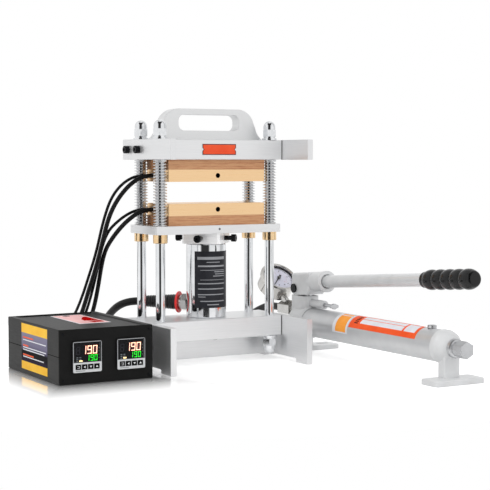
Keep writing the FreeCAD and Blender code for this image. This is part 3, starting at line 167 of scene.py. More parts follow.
HOSE = [
    (-77.79, 77.79, 101), (-94, 94, 101), (-108.5, 116, 94), (-113, 144, 79), (-111, 176, 59),
    (-106, 210, 38), (-99, 248, 19.5), (-90, 290, 8.5), (-80, 336, 6.9), (-62, 388, 6.9),
    (-25, 436, 6.9), (30, 464, 6.9), (90, 460, 6.9), (142, 426, 6.9), (172, 375, 6.9),
    (188, 322, 9), (198, 274, 20), (206, 230, 38), (212, 190, 57), (215, 156, 70),
    (214, 127, 73), (214, 98, 73),
]


def line_of(places):
    """Points read along a smooth NURBS line that has the route's points as its control points."""
    curve = bpy.data.curves.new("guide", "CURVE")
    curve.dimensions = "3D"
    curve.resolution_u = 6
    spline = curve.splines.new("NURBS")
    spline.points.add(len(places) - 1)
    for point, place in zip(spline.points, places):
        point.co = (*at(*place), 1.0)
    spline.order_u = 3
    spline.use_endpoint_u = True
    guide = show("guide", curve)
    mesh = bpy.data.meshes.new_from_object(guide)
    line = [vertex.co.copy() for vertex in mesh.vertices]
    bpy.data.objects.remove(guide)
    return line


def tube_mesh(name, line, radius, sides=16):
    """A round tube along a line, with UVs: u along it in metres, v round it from 0 to 1."""
    ways = [(b - a).normalized() for a, b in zip(line, line[1:])]
    ways = [ways[0]] + [(a + b).normalized() for a, b in zip(ways, ways[1:])] + [ways[-1]]
    side = ways[0].orthogonal().normalized()
    shape = bmesh.new()
    rings, reached, travel = [], [], 0.0
    for i, (middle, way) in enumerate(zip(line, ways)):
        side = (side - way * side.dot(way)).normalized()
        over = way.cross(side)
        travel += (middle - line[i - 1]).length if i else 0.0
        reached.append(travel)
        ring = []
        for k in range(sides):
            angle = 2 * math.pi * k / sides
            ring.append(shape.verts.new(middle + (side * math.cos(angle) + over * math.sin(angle)) * radius))
        rings.append(ring)
    uv = shape.loops.layers.uv.new("UVMap")
    for i in range(len(rings) - 1):
        for k in range(sides):
            n = (k + 1) % sides
            face = shape.faces.new((rings[i][k], rings[i][n], rings[i + 1][n], rings[i + 1][k]))
            spots = ((i, k), (i, k + 1), (i + 1, k + 1), (i + 1, k))
            for loop, (row, turn_at) in zip(face.loops, spots):
                loop[uv].uv = (reached[row], turn_at / sides)
            face.smooth = True
    shape.faces.new(list(reversed(rings[0])))
    shape.faces.new(rings[-1])
    return closed_mesh(name, shape)


POWER_D, PROBE_D, HOSE_D = 7.5, 5.0, 13.5

CORDS = (
    ("upper_power_lead", "upper_power_cable", UPPER_POWER, 0.489, POWER_D, "limp", "hanging", "cable_black"),
    ("upper_probe_lead", "upper_probe_cable", UPPER_PROBE, 0.422, PROBE_D, "limp", "hanging", "cable_black"),
    ("lower_power_lead", "lower_power_cable", LOWER_POWER, 0.472, POWER_D, "limp", "hanging", "cable_black"),
    ("lower_probe_lead", "lower_probe_cable", LOWER_PROBE, 0.405, PROBE_D, "limp", "hanging", "cable_black"),
    ("hose", "pressure_hose", HOSE, 0.94, HOSE_D, "medium", "loose", "hose_black"),
)
cords = {}
for name, node, places, length, diameter, stiffness, lay, finish in CORDS:
    line = line_of(places)
    cord = cords[name] = show(name, tube_mesh(name, line, diameter / 2 * MM))
    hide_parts(node)
    if name.startswith("lower"):
        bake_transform(cord)
    else:
        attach(cord, "press_set")


# Materials

# Nearly all of a noise's values lie between these.
NOISE_LOW, NOISE_HIGH = 0.3, 0.7
BEVEL_SAMPLES = 4


def begin(name):
    made = bpy.data.materials.new(name)
    made.use_nodes = True
    made.node_tree.nodes.clear()
    return made, made.node_tree


def pattern(tree, size, detail=3.0, rough=0.55, seed=(0.0, 0.0, 0.0)):
    """Noise whose patches are size millimetres long, all round or along X, Y and Z."""
    sizes = size if isinstance(size, tuple) else (size, size, size)
    scaled = add(tree, "ShaderNodeMapping", {
        "Vector": add(tree, "ShaderNodeTexCoord").outputs["Object"],
        "Scale": [1 / (s * MM) for s in sizes], "Location": seed,
    })
    return add(tree, "ShaderNodeTexNoise", {
        "Vector": scaled, "Scale": 1.0, "Detail": detail, "Roughness": rough,
    })


def close(tree, inputs, texture, rough, edge=0.35, depth=None):
    """Ends a material. Its texture spreads the roughness between two values and stands depth mm high, and
    its edges are rounded by edge mm."""
    roughness = add(tree, "ShaderNodeMapRange", (texture, NOISE_LOW, NOISE_HIGH, rough[0], rough[1]))
    normal = add(tree, "ShaderNodeBevel", {"Radius": edge * MM}, samples=BEVEL_SAMPLES)
    if depth is not None:
        normal = add(tree, "ShaderNodeBump", {
            "Height": texture, "Distance": depth * MM, "Strength": 1.0, "Normal": normal,
        })
    shader = add(tree, "ShaderNodeBsdfPrincipled", {**inputs, "Roughness": roughness, "Normal": normal})
    add(tree, "ShaderNodeOutputMaterial", {"Surface": shader})


def surface(name, dark, light, clouds, rough, texture=None, edge=0.3, depth=None, swing=0.15, **inputs):
    """A material whose colour drifts between two tones with its clouds. Its shine follows a finer texture,
    or the clouds themselves."""
    made, tree = begin(name)
    cloud = pattern(tree, *clouds)
    colour = add(tree, "ShaderNodeValToRGB", (cloud,), ((0.5 - swing, dark), (0.5 + swing, light)))
    grain = pattern(tree, *texture) if texture else cloud
    close(tree, {"Base Color": colour, **inputs}, grain, rough, edge, depth)
    return made


def brushed_metal(name, dark, light, size, rough, edge=0.5, depth=0.006, metallic=1.0):
    """Metal with the fine straight lines that a belt leaves: they streak its shine."""
    return surface(name, dark, light, (size, 4.0, 0.6), rough, None, edge, depth, 0.2, Metallic=metallic)


def polished_metal(name, dark, light, rough, edge=0.3, size=9):
    """Plated or ground metal: a clean mirror with the faint clouds that handling leaves."""
    return surface(name, dark, light, (size,), rough, None, edge, Metallic=1.0)


def painted_casting(name, dark, light, rough, grain, depth, metallic=0.0):
    """Sprayed paint over a sand casting: the grain shows through as soft pits under a thin shine."""
    clouds, pits = (30, 2.0, 0.55, (3.0, 1.0, 7.0)), (grain, 4.0, 0.6)
    paint = {"Metallic": metallic, "Coat Weight": 0.25, "Coat Roughness": 0.3}
    return surface(name, dark, light, clouds, rough, pits, 0.9, depth, **paint)


def moulded(name, dark, light, rough, grain=0.6, depth=0.02, edge=0.4, shine=0.5):
    """Moulded plastic or rubber: the fine texture of its mould breaks up a weak shine."""
    clouds = (25, 2.0, 0.55, (5.0, 2.0, 1.0))
    gloss = {"Specular IOR Level": shine, "Coat Roughness": 0.12}
    return surface(name, dark, light, clouds, rough, (grain,), edge, depth, 0.2, **gloss)


def vinyl(name, dark, light, shine=0.12):
    """A flat sticker or enamel fill: even colour, nearly without shine."""
    return moulded(name, dark, light, (0.35, 0.45), 0.5, 0.0, shine=shine)


def print_ink(name, dark, light, shine=0.12):
    """Screen print: a thin matt layer of one colour."""
    return moulded(name, dark, light, (0.4, 0.5), 0.3, 0.0, shine=shine)


def lit(name, colour, strength):
    """A display's lit segment behind smoked glass, its light a little uneven."""
    made, tree = begin(name)
    flicker = pattern(tree, 1.2, 1.0)
    power = add(tree, "ShaderNodeMapRange", (flicker, NOISE_LOW, NOISE_HIGH, strength * 0.92, strength))
    shade = hue(colour)
    shader = add(tree, "ShaderNodeBsdfPrincipled", {
        "Base Color": shade, "Roughness": 0.3, "Emission Color": shade, "Emission Strength": power,
    })
    add(tree, "ShaderNodeOutputMaterial", {"Surface": shader})
    return made


def wood_laminate(name):
    """Densified laminated board: brown veneers pressed with resin, long grain along the board."""
    made, tree = begin(name)
    fibres = pattern(tree, (26, 2.2, 0.9), 6.0, 0.7)
    veneers = pattern(tree, (160, 60, 2.6), 2.0, seed=(2.0, 0.0, 4.0))
    mixed = add(tree, "ShaderNodeMix", {0: 0.4, 2: fibres, 3: veneers}, data_type="FLOAT")
    colour = add(tree, "ShaderNodeValToRGB", {"Fac": mixed}, (
        (0.3, "#834E30"), (0.43, "#B77C54"), (0.53, "#D09E74"), (0.68, "#9C6540"),
    ))
    close(tree, {"Base Color": colour}, fibres, (0.5, 0.7), 0.4, 0.04)
    return made


def across(tree, axis, edge_at, softness):
    """A share that goes from 0 to 1 across a plane of the piece."""
    parts = add(tree, "ShaderNodeSeparateXYZ", (add(tree, "ShaderNodeTexCoord").outputs["Object"],))
    return add(tree, "ShaderNodeMapRange", (parts.outputs[axis], edge_at - softness, edge_at + softness))


PROBE_AXES = ((1.0, 321.25), (1.0, 263.95))
PROBE_R, PLATE_FRONT = 4.2, -41.0


def drilled_gold(name):
    """Gold anodised plate, ground along X; inside the probe bores, painted shade: near black, not metal."""
    made, tree = begin(name)
    lines = pattern(tree, (60, 0.4, 0.4), 4.0, 0.6)
    place = add(tree, "ShaderNodeTexCoord").outputs["Object"]
    level = add(tree, "ShaderNodeVectorMath", (place, (1.0, 0.0, 1.0)), operation="MULTIPLY")
    inside = 0.0
    for x, z in PROBE_AXES:
        middle = at(x, PLATE_FRONT, z)
        away = add(tree, "ShaderNodeVectorMath", {
            0: level, 1: (middle.x, 0.0, middle.z),
        }, operation="DISTANCE").outputs["Value"]
        near_axis = add(tree, "ShaderNodeMath", (away, (PROBE_R + 0.1) * MM), operation="LESS_THAN")
        inside = add(tree, "ShaderNodeMath", (near_axis, inside), operation="MAXIMUM")
    behind = across(tree, 1, MIDDLE_Y + (PLATE_FRONT + 0.3) * MM, 0.1 * MM)
    # Inside the bores the colour is painted near black: painted shade of the deep holes.
    bore_shade = add(tree, "ShaderNodeMath", (inside, behind), operation="MULTIPLY")
    face = add(tree, "ShaderNodeValToRGB", {"Fac": lines}, ((0.3, "#EFC898"), (0.7, "#F5D2A5")))
    colour = add(tree, "ShaderNodeMix", {0: bore_shade, 6: face, 7: hue("#0C0A09")}, data_type="RGBA")
    metal = add(tree, "ShaderNodeMath", (1.0, bore_shade), operation="SUBTRACT")
    close(tree, {"Base Color": colour.outputs[2], "Metallic": metal}, lines, (0.26, 0.36), 0.4, 0.006)
    return made


def chrome_with_spring_shade(name, shade_from):
    """Ground hard chrome posts: a clean mirror below, and painted shade of the coils under the springs."""
    made, tree = begin(name)
    clouds = pattern(tree, 25, 2.0)
    # The posts are painted darker under the springs: painted shade of the coils.
    spring_shade = across(tree, 2, shade_from * MM, 0.6 * MM)
    clean = add(tree, "ShaderNodeValToRGB", {"Fac": clouds}, ((0.35, "#E2E4E6"), (0.65, "#ECEDEF")))
    colour = add(tree, "ShaderNodeMix", {0: spring_shade, 6: clean, 7: hue("#B4B5B7")}, data_type="RGBA")
    close(tree, {"Base Color": colour.outputs[2], "Metallic": 1.0}, clouds, (0.03, 0.045), 0.3)
    return made


def lens_material():
    """Thin clear glass: nearly invisible, with a sharp reflection."""
    made, tree = begin("clear_gauge_glass")
    close(tree, {
        "Base Color": hue("#303030"), "Alpha": 0.05, "IOR": 1.5,
    }, pattern(tree, 20, 2.0), (0.01, 0.04), 0.1)
    return made


CONTROLLER_FRONT, CONTROLLER_LOW = -131.5, 18.4
KEY_ROW_TALL = 15.4


def bezel_material():
    """The controller's moulding: silver sprayed on its front, paler round the keys, black sides as painted
    shade.
    """
    made, tree = begin("silver_front_black_side_bezel")
    share = across(tree, 1, MIDDLE_Y + (CONTROLLER_FRONT + 0.9) * MM, 0.5 * MM)
    texture = pattern(tree, 0.3, 2.0)
    place = add(tree, "ShaderNodeTexCoord").outputs["Object"]
    height = add(tree, "ShaderNodeSeparateXYZ", (place,)).outputs["Z"]
    row_top = (CONTROLLER_LOW + KEY_ROW_TALL) * MM
    lower = add(tree, "ShaderNodeMath", (height, row_top), operation="LESS_THAN")
    pale = add(tree, "ShaderNodeValToRGB", {"Fac": texture}, ((0.3, "#C6C8CA"), (0.7, "#D6D8DA")))
    silver = add(tree, "ShaderNodeMix", {0: lower, 6: hue("#A9ABAE"), 7: pale}, data_type="RGBA")
    # The black of the bezel's sides is painted shade.
    black = add(tree, "ShaderNodeValToRGB", {"Fac": texture}, ((0.3, "#0E0E0F"), (0.7, "#161617")))
    colour = add(tree, "ShaderNodeMix", {0: share, 6: silver.outputs[2], 7: black}, data_type="RGBA")
    close(tree, {"Base Color": colour.outputs[2]}, texture, (0.28, 0.38), 0.3)
    return made


VIOLET_FROM, VIOLET_TO = 20.6, 67.0


def violet_gradient():
    """The label's middle: violet grey at its top, nearly black over its lowest third."""
    made, tree = begin("violet_grey_to_black_print")
    parts = add(tree, "ShaderNodeSeparateXYZ", (add(tree, "ShaderNodeTexCoord").outputs["Object"],)).outputs
    share = add(tree, "ShaderNodeMapRange", (parts["Z"], VIOLET_FROM * MM, VIOLET_TO * MM))
    colour = add(tree, "ShaderNodeValToRGB", {"Fac": share}, (
        (0.0, "#2A2238"), (0.14, "#1C1626"), (0.22, "#0B090E"), (0.36, "#0D0B10"), (0.44, "#57536A"),
        (0.6, "#77738A"), (1.0, "#8A879C"),
    ))
    inputs = {"Base Color": colour, "Specular IOR Level": 0.03}
    close(tree, inputs, pattern(tree, 0.5, 2.0), (0.45, 0.55), 0.1)
    return made


# Aluminium: a soft grey sheen, streaked along the grinding or evenly matt from the blasting
ALONG_X, ALONG_Y = (45, 0.35, 0.35), (0.35, 45, 0.35)
anodised_beam = brushed_metal("satin_anodised_aluminium_beam", "#DFE0E1", "#EAEAEB", ALONG_X, (0.3, 0.42),
                              metallic=0.8)
anodised_plate = brushed_metal("satin_anodised_aluminium_plate", "#DDDEDF", "#E8E8E9", ALONG_Y, (0.28, 0.4),
                               metallic=0.8)
anodised_handle = brushed_metal("bead_blasted_aluminium", "#DDDEDE", "#E6E6E7", 0.5, (0.38, 0.48), 1.0,
                                0.01, 0.7)

# Chrome, plating and ground steel: mirrors from sharp to satin
chrome = polished_metal("hard_chrome", "#DADCDE", "#E9EAEC", (0.04, 0.09))
# The posts carry painted shade from the springs' foot, 237.2 mm, up.
post_chrome = chrome_with_spring_shade("ground_hard_chrome", 237.2)
chrome_cylinder = polished_metal("polished_cylinder_steel", "#DCDEE0", "#E8E9EB", (0.04, 0.07), 0.6,
                                 (25, 25, 12))
nickel = polished_metal("satin_nickel_plate", "#BDBCBA", "#C8C7C5", (0.1, 0.16), 0.5, 20)
gauge_steel = polished_metal("polished_stainless_case", "#C0BEBB", "#CBC9C6", (0.12, 0.18), 0.6, 20)
ground_steel = brushed_metal("ground_steel_collar", "#FAFAFB", "#FFFFFF", (20, 20, 0.3), (0.24, 0.32), 0.4,
                             metallic=0.2)
zinc = polished_metal("bright_zinc_plate", "#BDBEC0", "#C7C8CA", (0.26, 0.32), 0.6, 20)
black_oxide = polished_metal("black_oxide_steel", "#17181A", "#26272A", (0.24, 0.36), 0.3, 3)
spring_wire = polished_metal("drawn_spring_wire", "#D6D7D9", "#E4E5E6", (0.05, 0.08), 0.1, 6)
bronze = polished_metal("turned_bearing_bronze", "#EBC797", "#F3D6AC", (0.15, 0.2))
heater_steel = polished_metal("drawn_heater_tube", "#9A9B9C", "#B7B8B9", (0.22, 0.34), 0.3, 3)
gold = drilled_gold("gold_anodised_aluminium")
laminate = wood_laminate("laminated_densified_wood")

# Paint: pitted on the castings, smooth on the tubes
cast_grey = painted_casting("silver_grey_paint_on_casting", "#D2D3D4", "#DBDCDD", (0.34, 0.5), 1.5, 0.08)
tube_grey = painted_casting("silver_grey_paint_on_tube", "#C6C7C9", "#CCCDCE", (0.34, 0.4), 2.6, 0.004, 0.55)
lever_grey = painted_casting("silver_grey_enamel_on_lever", "#CBCDCE", "#D3D4D5", (0.3, 0.36), 2.6,
                             0.003, 0.2)

# Black plastic, rubber and paint: near black, told apart by their gloss and grain
case_paint = moulded("black_brushed_case", "#191919", "#232323", (0.42, 0.55), (0.5, 45, 0.5), 0.03,
                     shine=0.2)
panel_paint = moulded("black_powder_coat_panel", "#0B0B0B", "#111111", (0.5, 0.6), 0.5, shine=0.16)
black_plastic = moulded("black_glass_filled_nylon", "#0E0E0F", "#161617", (0.38, 0.5), shine=0.25)
key_rubber = moulded("black_key_plastic", "#070708", "#0E0E0F", (0.5, 0.6), 0.4, 0.01, edge=0.2, shine=0.08)
smoked_window = moulded("smoked_acrylic_window", "#0A0A0D", "#0F0F13", (0.25, 0.3), 3, 0.0, shine=0.12)
grip_rubber = moulded("glossy_black_vinyl_grip", "#060607", "#0C0C0D", (0.2, 0.26), 2.0, 0.01, 0.6, 0.35)
lead_rubber = moulded("black_silicone_lead", "#0D0D0E", "#161617", (0.4, 0.5), 1.2, 0.03, shine=0.18)
hose_rubber = moulded("black_wrapped_hose_cover", "#0D0D0D", "#161616", (0.45, 0.58), 1.0, 0.06, shine=0.3)
guard_rubber = moulded("black_bend_guard_rubber", "#0E0E0F", "#181819", (0.24, 0.34), 0.8)
red_rubber = moulded("red_dust_cap_rubber", "#F0262A", "#FA3632", (0.34, 0.44), 0.8)
needle_paint = moulded("black_needle_paint", "#0C0C0D", "#161617", (0.3, 0.4), 0.4, 0.0, edge=0.1)
shadow_gap = moulded("unlit_gap", "#050505", "#0A0A0A", (0.7, 0.8), 0.5, 0.0, shine=0.0)

# Prints, foils and stickers
dial_face = moulded("printed_dial_card", "#DADAEA", "#E6E6F2", (0.4, 0.5), 0.5, 0.0, shine=0.12)
ink_black = print_ink("black_print", "#141416", "#1C1C1F", 0.02)
ink_red = print_ink("red_print", "#B9241D", "#C63027", 0.05)
ink_white = print_ink("white_print", "#DEDFE2", "#EBECEE")
ink_grey = print_ink("grey_print", "#56585C", "#66686C")
ink_pale = print_ink("pale_grey_print", "#94969A", "#A2A4A8")
label_grey = moulded("dark_grey_foil_label", "#26272B", "#313237", (0.3, 0.4), 0.3, 0.0, shine=0.12)
label_red = moulded("orange_red_enamel", "#EA5230", "#F2603C", (0.3, 0.4), 0.4, 0.0, shine=0.12)
label_orange = vinyl("orange_vinyl", "#FA9C36", "#FFAA48")
label_signal = vinyl("signal_orange_vinyl", "#F05422", "#F8622E")
label_white = vinyl("white_vinyl", "#DCDDE3", "#E8E9EE")
label_yellow = vinyl("yellow_vinyl", "#F8BC24", "#FFC936")
label_pink = vinyl("pink_vinyl", "#F0B4B4", "#F8C4C2")
label_dark_red = vinyl("dark_red_print", "#A00808", "#B81010", 0.0)
dark_enamel = vinyl("dark_enamel_edge", "#4A1410", "#581A14")
violet_print = violet_gradient()
unlit_segment = moulded("unlit_segment", "#26262B", "#303036", (0.4, 0.5), 0.5, 0.0, shine=0.1)
grey_legend = moulded("grey_legend_print", "#5E6267", "#70757A", (0.4, 0.5), 0.5, 0.0, shine=0.1)

glow_halo = lit("red_lit_window_haze", "#3C0606", 0.3)
glow_red = lit("red_lit_segment_edge", "#D8281A", 0.9)
glow_hot = lit("red_lit_segment_core", "#FFE8C8", 1.1)
glow_green = lit("green_lit_segment", "#16E028", 0.95)
glow_amber = lit("amber_lit_bar", "#FFE0A0", 1.1)
gauge_glass = lens_material()
bezel_with_side_shade = bezel_material()


NODE_FINISH = {
    anodised_beam: "base_beam center_web top_beam moving_plate",
    anodised_plate: "left_foot_plate right_foot_plate left_wing_plate right_wing_plate",
    anodised_handle: "carry_handle",
    chrome: "post_nuts ram plunger",
    post_chrome: "guide_posts",
    chrome_cylinder: "cylinder_body",
    black_oxide: "frame_screws collar_screws pivot_pin",
    laminate: "upper_insulator lower_insulator",
    gold: "upper_heat_plate lower_heat_plate",
    heater_steel: "upper_heater lower_heater",
    bronze: "guide_bushings",
    nickel: "hose_couplers",
    gauge_steel: "gauge_case",
    ground_steel: "ram_collar",
    zinc: "reservoir_plugs release_knob",
    cast_grey: "pump_head head_foot end_foot lever_block",
    tube_grey: "reservoir_tube",
    lever_grey: "lever_tube",
    grip_rubber: "lever_grip",
    needle_paint: "gauge_needle",
    gauge_glass: "gauge_lens",
    case_paint: "case_top case_bottom",
    panel_paint: "front_panel rear_panel",
    bezel_with_side_shade: "controllers",
    black_plastic: "rear_connectors power_rocker",
    spring_wire: "return_springs",
    guard_rubber: "hose_sleeves",
    lead_rubber: "upper_power_cable lower_power_cable upper_probe_cable lower_probe_cable",
    hose_rubber: "pressure_hose",
    key_rubber: "left_set_key left_shift_key left_down_key left_up_key "
                "right_set_key right_shift_key right_down_key right_up_key",
}
for material, names in NODE_FINISH.items():
    for name in names.split():
        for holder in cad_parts[name].material_slots:
            holder.material = material

for name, cord in cords.items():
    cord.data.materials.append(hose_rubber if name == "hose" else lead_rubber)


# Shapes made of closed slabs and turned rings

class Shape:
    """Gathers closed pieces of one mesh, each with its own material."""

    def __init__(self, name, materials):
        self.name = name
        self.materials = materials
        self.mesh = bmesh.new()

    def face(self, points, kind, smooth):
        made = self.mesh.faces.new(points)
        made.material_index = kind
        made.smooth = smooth

    def slab(self, place, outline, low, high, kind=0):
        """A flat-sided plate: outline's (u, v) corners, from low to high above the surface."""
        under = [self.mesh.verts.new(place(u, v, low)) for u, v in outline]
        over = [self.mesh.verts.new(place(u, v, high)) for u, v in outline]
        self.face(over, kind, False)
        self.face(list(reversed(under)), kind, False)
        for i in range(len(outline)):
            n = (i + 1) % len(outline)
            self.face((under[i], under[n], over[n], over[i]), kind, False)

    def tile(self, place, u, v, low, high, kind=0, steps=1):
        """A rectangle laid on a surface that may curve along u."""
        spots = [u[0] + (u[1] - u[0]) * i / steps for i in range(steps + 1)]
        rows = []
        for a in spots:
            rows.append([self.mesh.verts.new(place(a, b, h))
                         for b, h in ((v[0], low), (v[1], low), (v[1], high), (v[0], high))])
        self.face(rows[0], kind, False)
        self.face(list(reversed(rows[-1])), kind, False)
        for one, two in zip(rows, rows[1:]):
            for k in range(4):
                n = (k + 1) % 4
                self.face((one[k], two[k], two[n], one[n]), kind, steps > 1)

    def turned(self, place, profile, kind=0, sides=48):
        """A closed (radius, height) profile turned about the axis that place(x, y, height) gives."""
        rings = []
        for radius, height in profile:
            if radius == 0:
                rings.append([self.mesh.verts.new(place(0, 0, height))] * sides)
                continue
            rings.append([self.mesh.verts.new(place(x, y, height)) for x, y in circle(0, 0, radius, sides)])
        for one, two in zip(rings, rings[1:] + rings[:1]):
            for k in range(sides):
                n = (k + 1) % sides
                corners = []
                for corner in (one[k], one[n], two[n], two[k]):
                    if corner not in corners:
                        corners.append(corner)
                if len(corners) > 2:
                    self.face(corners, kind, True)

    def done(self, body, finish, degrees=35):
        """The finished piece, riding on a body."""
        mesh = closed_mesh(self.name, self.mesh)
        mesh.set_sharp_from_angle(angle=math.radians(degrees))
        for material in self.materials:
            mesh.materials.append(material)
        made = show(self.name, mesh)
        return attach(made, body)


def facing_front(y):
    """Places on a front face at y: u to the right, v up, height towards the viewer."""
    return lambda u, v, h: at(u, y - h, v)


def facing_left(x):
    """Places on a left face at x: u towards the front, v up."""
    return lambda u, v, h: at(x - h, -u, v)


def facing_up(z):
    return lambda u, v, h: at(u, v, z + h)


def box_outline(x0, x1, y0, y1):
    return [(x0, y0), (x1, y0), (x1, y1), (x0, y1)]


def circle(u, v, radius, sides):
    """The corners of a round outline."""
    angles = [2 * math.pi * k / sides for k in range(sides)]
    return [(u + radius * math.cos(a), v + radius * math.sin(a)) for a in angles]


# Return springs, wound by Geometry Nodes

SPRING_Z = (237.2, 348.0)
SPRING_TALL = SPRING_Z[1] - SPRING_Z[0]
SPRING_SPOTS = [(sx * 106.0, sy * 36.0) for sx in (-1, 1) for sy in (-1, 1)]
SPRING_SIZES = (
    ("Coil radius", 11.0 * MM), ("Wire radius", 0.95 * MM), ("Height", SPRING_TALL * MM),
    ("Turns", 24.0), ("Closed turn", 1.0),
)
STEPS_PER_TURN = 24.0
WIRE_SIDES = 8


def spring_tree():
    """A helix with closed end turns, swept with round wire and stood at each point of the mesh."""
    tree = bpy.data.node_groups.new("spring_winder", "GeometryNodeTree")
    face = tree.interface
    face.new_socket("Geometry", in_out="INPUT", socket_type="NodeSocketGeometry")
    for name, value in SPRING_SIZES:
        face.new_socket(name, in_out="INPUT", socket_type="NodeSocketFloat").default_value = value
    face.new_socket("Wire", in_out="INPUT", socket_type="NodeSocketMaterial")
    face.new_socket("Geometry", in_out="OUTPUT", socket_type="NodeSocketGeometry")
    given = add(tree, "NodeGroupInput").outputs
    wire_r, turns, closed = given["Wire radius"], given["Turns"], given["Closed turn"]
    count = add(tree, "ShaderNodeMath", (turns, STEPS_PER_TURN), operation="MULTIPLY")
    line = add(tree, "GeometryNodeCurvePrimitiveLine", {"End": (0.0, 0.0, 1.0)})
    wire = add(tree, "GeometryNodeResampleCurve", {"Curve": line, "Count": count})
    along = add(tree, "GeometryNodeSplineParameter").outputs["Factor"]
    turned = add(tree, "ShaderNodeMath", (along, turns), operation="MULTIPLY")
    angle = add(tree, "ShaderNodeMath", (turned, 2 * math.pi), operation="MULTIPLY")
    wire_d = add(tree, "ShaderNodeMath", (wire_r, 2.0), operation="MULTIPLY")
    open_end = add(tree, "ShaderNodeMath", (turns, closed), operation="SUBTRACT")
    spare = add(tree, "ShaderNodeMath", (given["Height"], wire_d), operation="SUBTRACT")
    climb = add(tree, "ShaderNodeMath", (spare, wire_d), operation="SUBTRACT")
    rise = 0.0
    for first, last, low, high in (
        (0.0, closed, wire_r, wire_d), (closed, open_end, 0.0, climb), (open_end, turns, 0.0, wire_r),
    ):
        share = add(tree, "ShaderNodeMapRange", (turned, first, last, low, high))
        rise = add(tree, "ShaderNodeMath", (rise, share), operation="ADD")
    level = []
    for wave in ("COSINE", "SINE"):
        swing = add(tree, "ShaderNodeMath", (angle,), operation=wave)
        level.append(add(tree, "ShaderNodeMath", (swing, given["Coil radius"]), operation="MULTIPLY"))
    spot = add(tree, "ShaderNodeCombineXYZ", (level[0], level[1], rise))
    coil = add(tree, "GeometryNodeSetPosition", {"Geometry": wire, "Position": spot})
    ring = add(tree, "GeometryNodeCurvePrimitiveCircle", {"Resolution": WIRE_SIDES, "Radius": wire_r})
    swept = add(tree, "GeometryNodeCurveToMesh", {"Curve": coil, "Profile Curve": ring, "Fill Caps": True})
    smooth = add(tree, "GeometryNodeSetShadeSmooth", {"Geometry": swept})
    stood = add(tree, "GeometryNodeInstanceOnPoints", {"Points": given["Geometry"], "Instance": smooth})
    real = add(tree, "GeometryNodeRealizeInstances", {"Geometry": stood})
    wired = add(tree, "GeometryNodeSetMaterial", {"Geometry": real, "Material": given["Wire"]})
    add(tree, "NodeGroupOutput", (wired,))
    return tree


spring_mesh = bpy.data.meshes.new("spring_coils")
spring_mesh.from_pydata([at(x, y, SPRING_Z[0]) for x, y in SPRING_SPOTS], [], [])
springs = show("spring_coils", spring_mesh)
winder = springs.modifiers.new("nodes", "NODES")
winder.node_group = spring_tree()
for item in winder.node_group.interface.items_tree:
    if item.name == "Wire":
        winder[item.identifier] = spring_wire
wound = evaluated_mesh(springs)
springs.modifiers.clear()
springs.data = wound
wound.name = "spring_coils"
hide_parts("return_springs")
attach(springs, "press_set")
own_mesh(springs)


# Hose coupler: red dust ring and ribbed bend guard

PORT_Z = 101.0
PORT_TURN = math.radians(135.0)
port_way = Vector((math.cos(PORT_TURN), math.sin(PORT_TURN), 0))
port_side = Vector((-math.sin(PORT_TURN), math.cos(PORT_TURN), 0))


def on_port(x, y, h):
    """Places about the cylinder's port axis, h millimetres out from the cylinder's middle."""
    spot = port_way * h + port_side * x
    return at(spot.x, spot.y, PORT_Z + y)


ring = Shape("dust_ring", [red_rubber])
ring.turned(on_port, [
    (12.62, 49.2), (15.0, 48.9), (17.4, 48.0), (18.3, 47.9), (18.8, 48.6), (18.7, 50.2), (17.8, 51.6),
    (16.0, 52.5), (14.0, 52.9), (12.62, 52.9),
])
ring.done("press_set", "rubber_red")

GUARD_START, GUARD_END, GUARD_RIBS = 53.2, 110.0, 11
guard_profile = [
    (12.7, GUARD_START), (13.1, GUARD_START), (13.4, GUARD_START + 0.8), (13.2, GUARD_START + 2.6),
]
rib_pitch = (GUARD_END - GUARD_START - 6) / GUARD_RIBS
for i in range(GUARD_RIBS):
    start = GUARD_START + 3 + i * rib_pitch
    radius = 13.2 - 3.3 * i / GUARD_RIBS
    guard_profile += [
        (radius - 1.3, start + 0.6), (radius - 1.35, start + 1.1), (radius - 0.9, start + 1.5),
        (radius - 0.1, start + 2.0), (radius, start + 2.6), (radius - 0.05, start + rib_pitch - 1.2),
        (radius - 0.4, start + rib_pitch - 0.2),
    ]
guard_profile += [(9.7, GUARD_END - 2.6), (9.2, GUARD_END - 1.0), (8.2, GUARD_END), (6.85, GUARD_END),
                  (6.85, GUARD_END - 30), (10.0, GUARD_START + 14.0), (12.7, GUARD_START + 8.0)]
guard = Shape("hose_guard", [guard_rubber])
guard.turned(on_port, guard_profile)
guard_piece = guard.done("press_set", "hose_black", 50)
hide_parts("hose_sleeves")


# Displays of the two controllers

BOX_LEFT, BOX_RIGHT, BOX_FRONT = -326.0, -166.0, -126.5
CONTROLLER_LEFT = (BOX_LEFT + 21.5, BOX_LEFT + 96.5)
CONTROLLER_WIDE = 48.0
RECESS = CONTROLLER_FRONT + 1.6
KEY_FRONT = CONTROLLER_FRONT - 0.8
KEY_FACES = ("set", "shift", "down", "up")
KEY_PITCH, KEY_MIDDLE_V = 10.4, 8.6
SEGMENTS_OF = {"1": "bc", "9": "abcdfg", "0": "abcdef", "8": "abcdefg"}
DIGIT_SLANT = 0.06
HALO_WIDER = 0.3

# How far each layer stands out of the recess: window, haze, the digits' edges, their lit cores, dim marks
WINDOW_H, HAZE_H, EDGE_H, CORE_H, DIM_H = (0.02, 0.6), (0.6, 0.62), (0.62, 0.66), (0.67, 0.72), (0.67, 0.7)
BORDER_H, LEGEND_H = (1.61, 1.66), (1.61, 1.65)


def segment_bars(wide, tall, thick):
    """Each segment of a seven-segment digit as a rectangle (u0, u1, v0, v1)."""
    half = tall / 2
    return {
        "a": (0, wide, tall - thick, tall), "d": (0, wide, 0, thick),
        "g": (0, wide, half - thick / 2, half + thick / 2),
        "b": (wide - thick, wide, half, tall), "c": (wide - thick, wide, 0, half),
        "f": (0, thick, half, tall), "e": (0, thick, 0, half),
    }


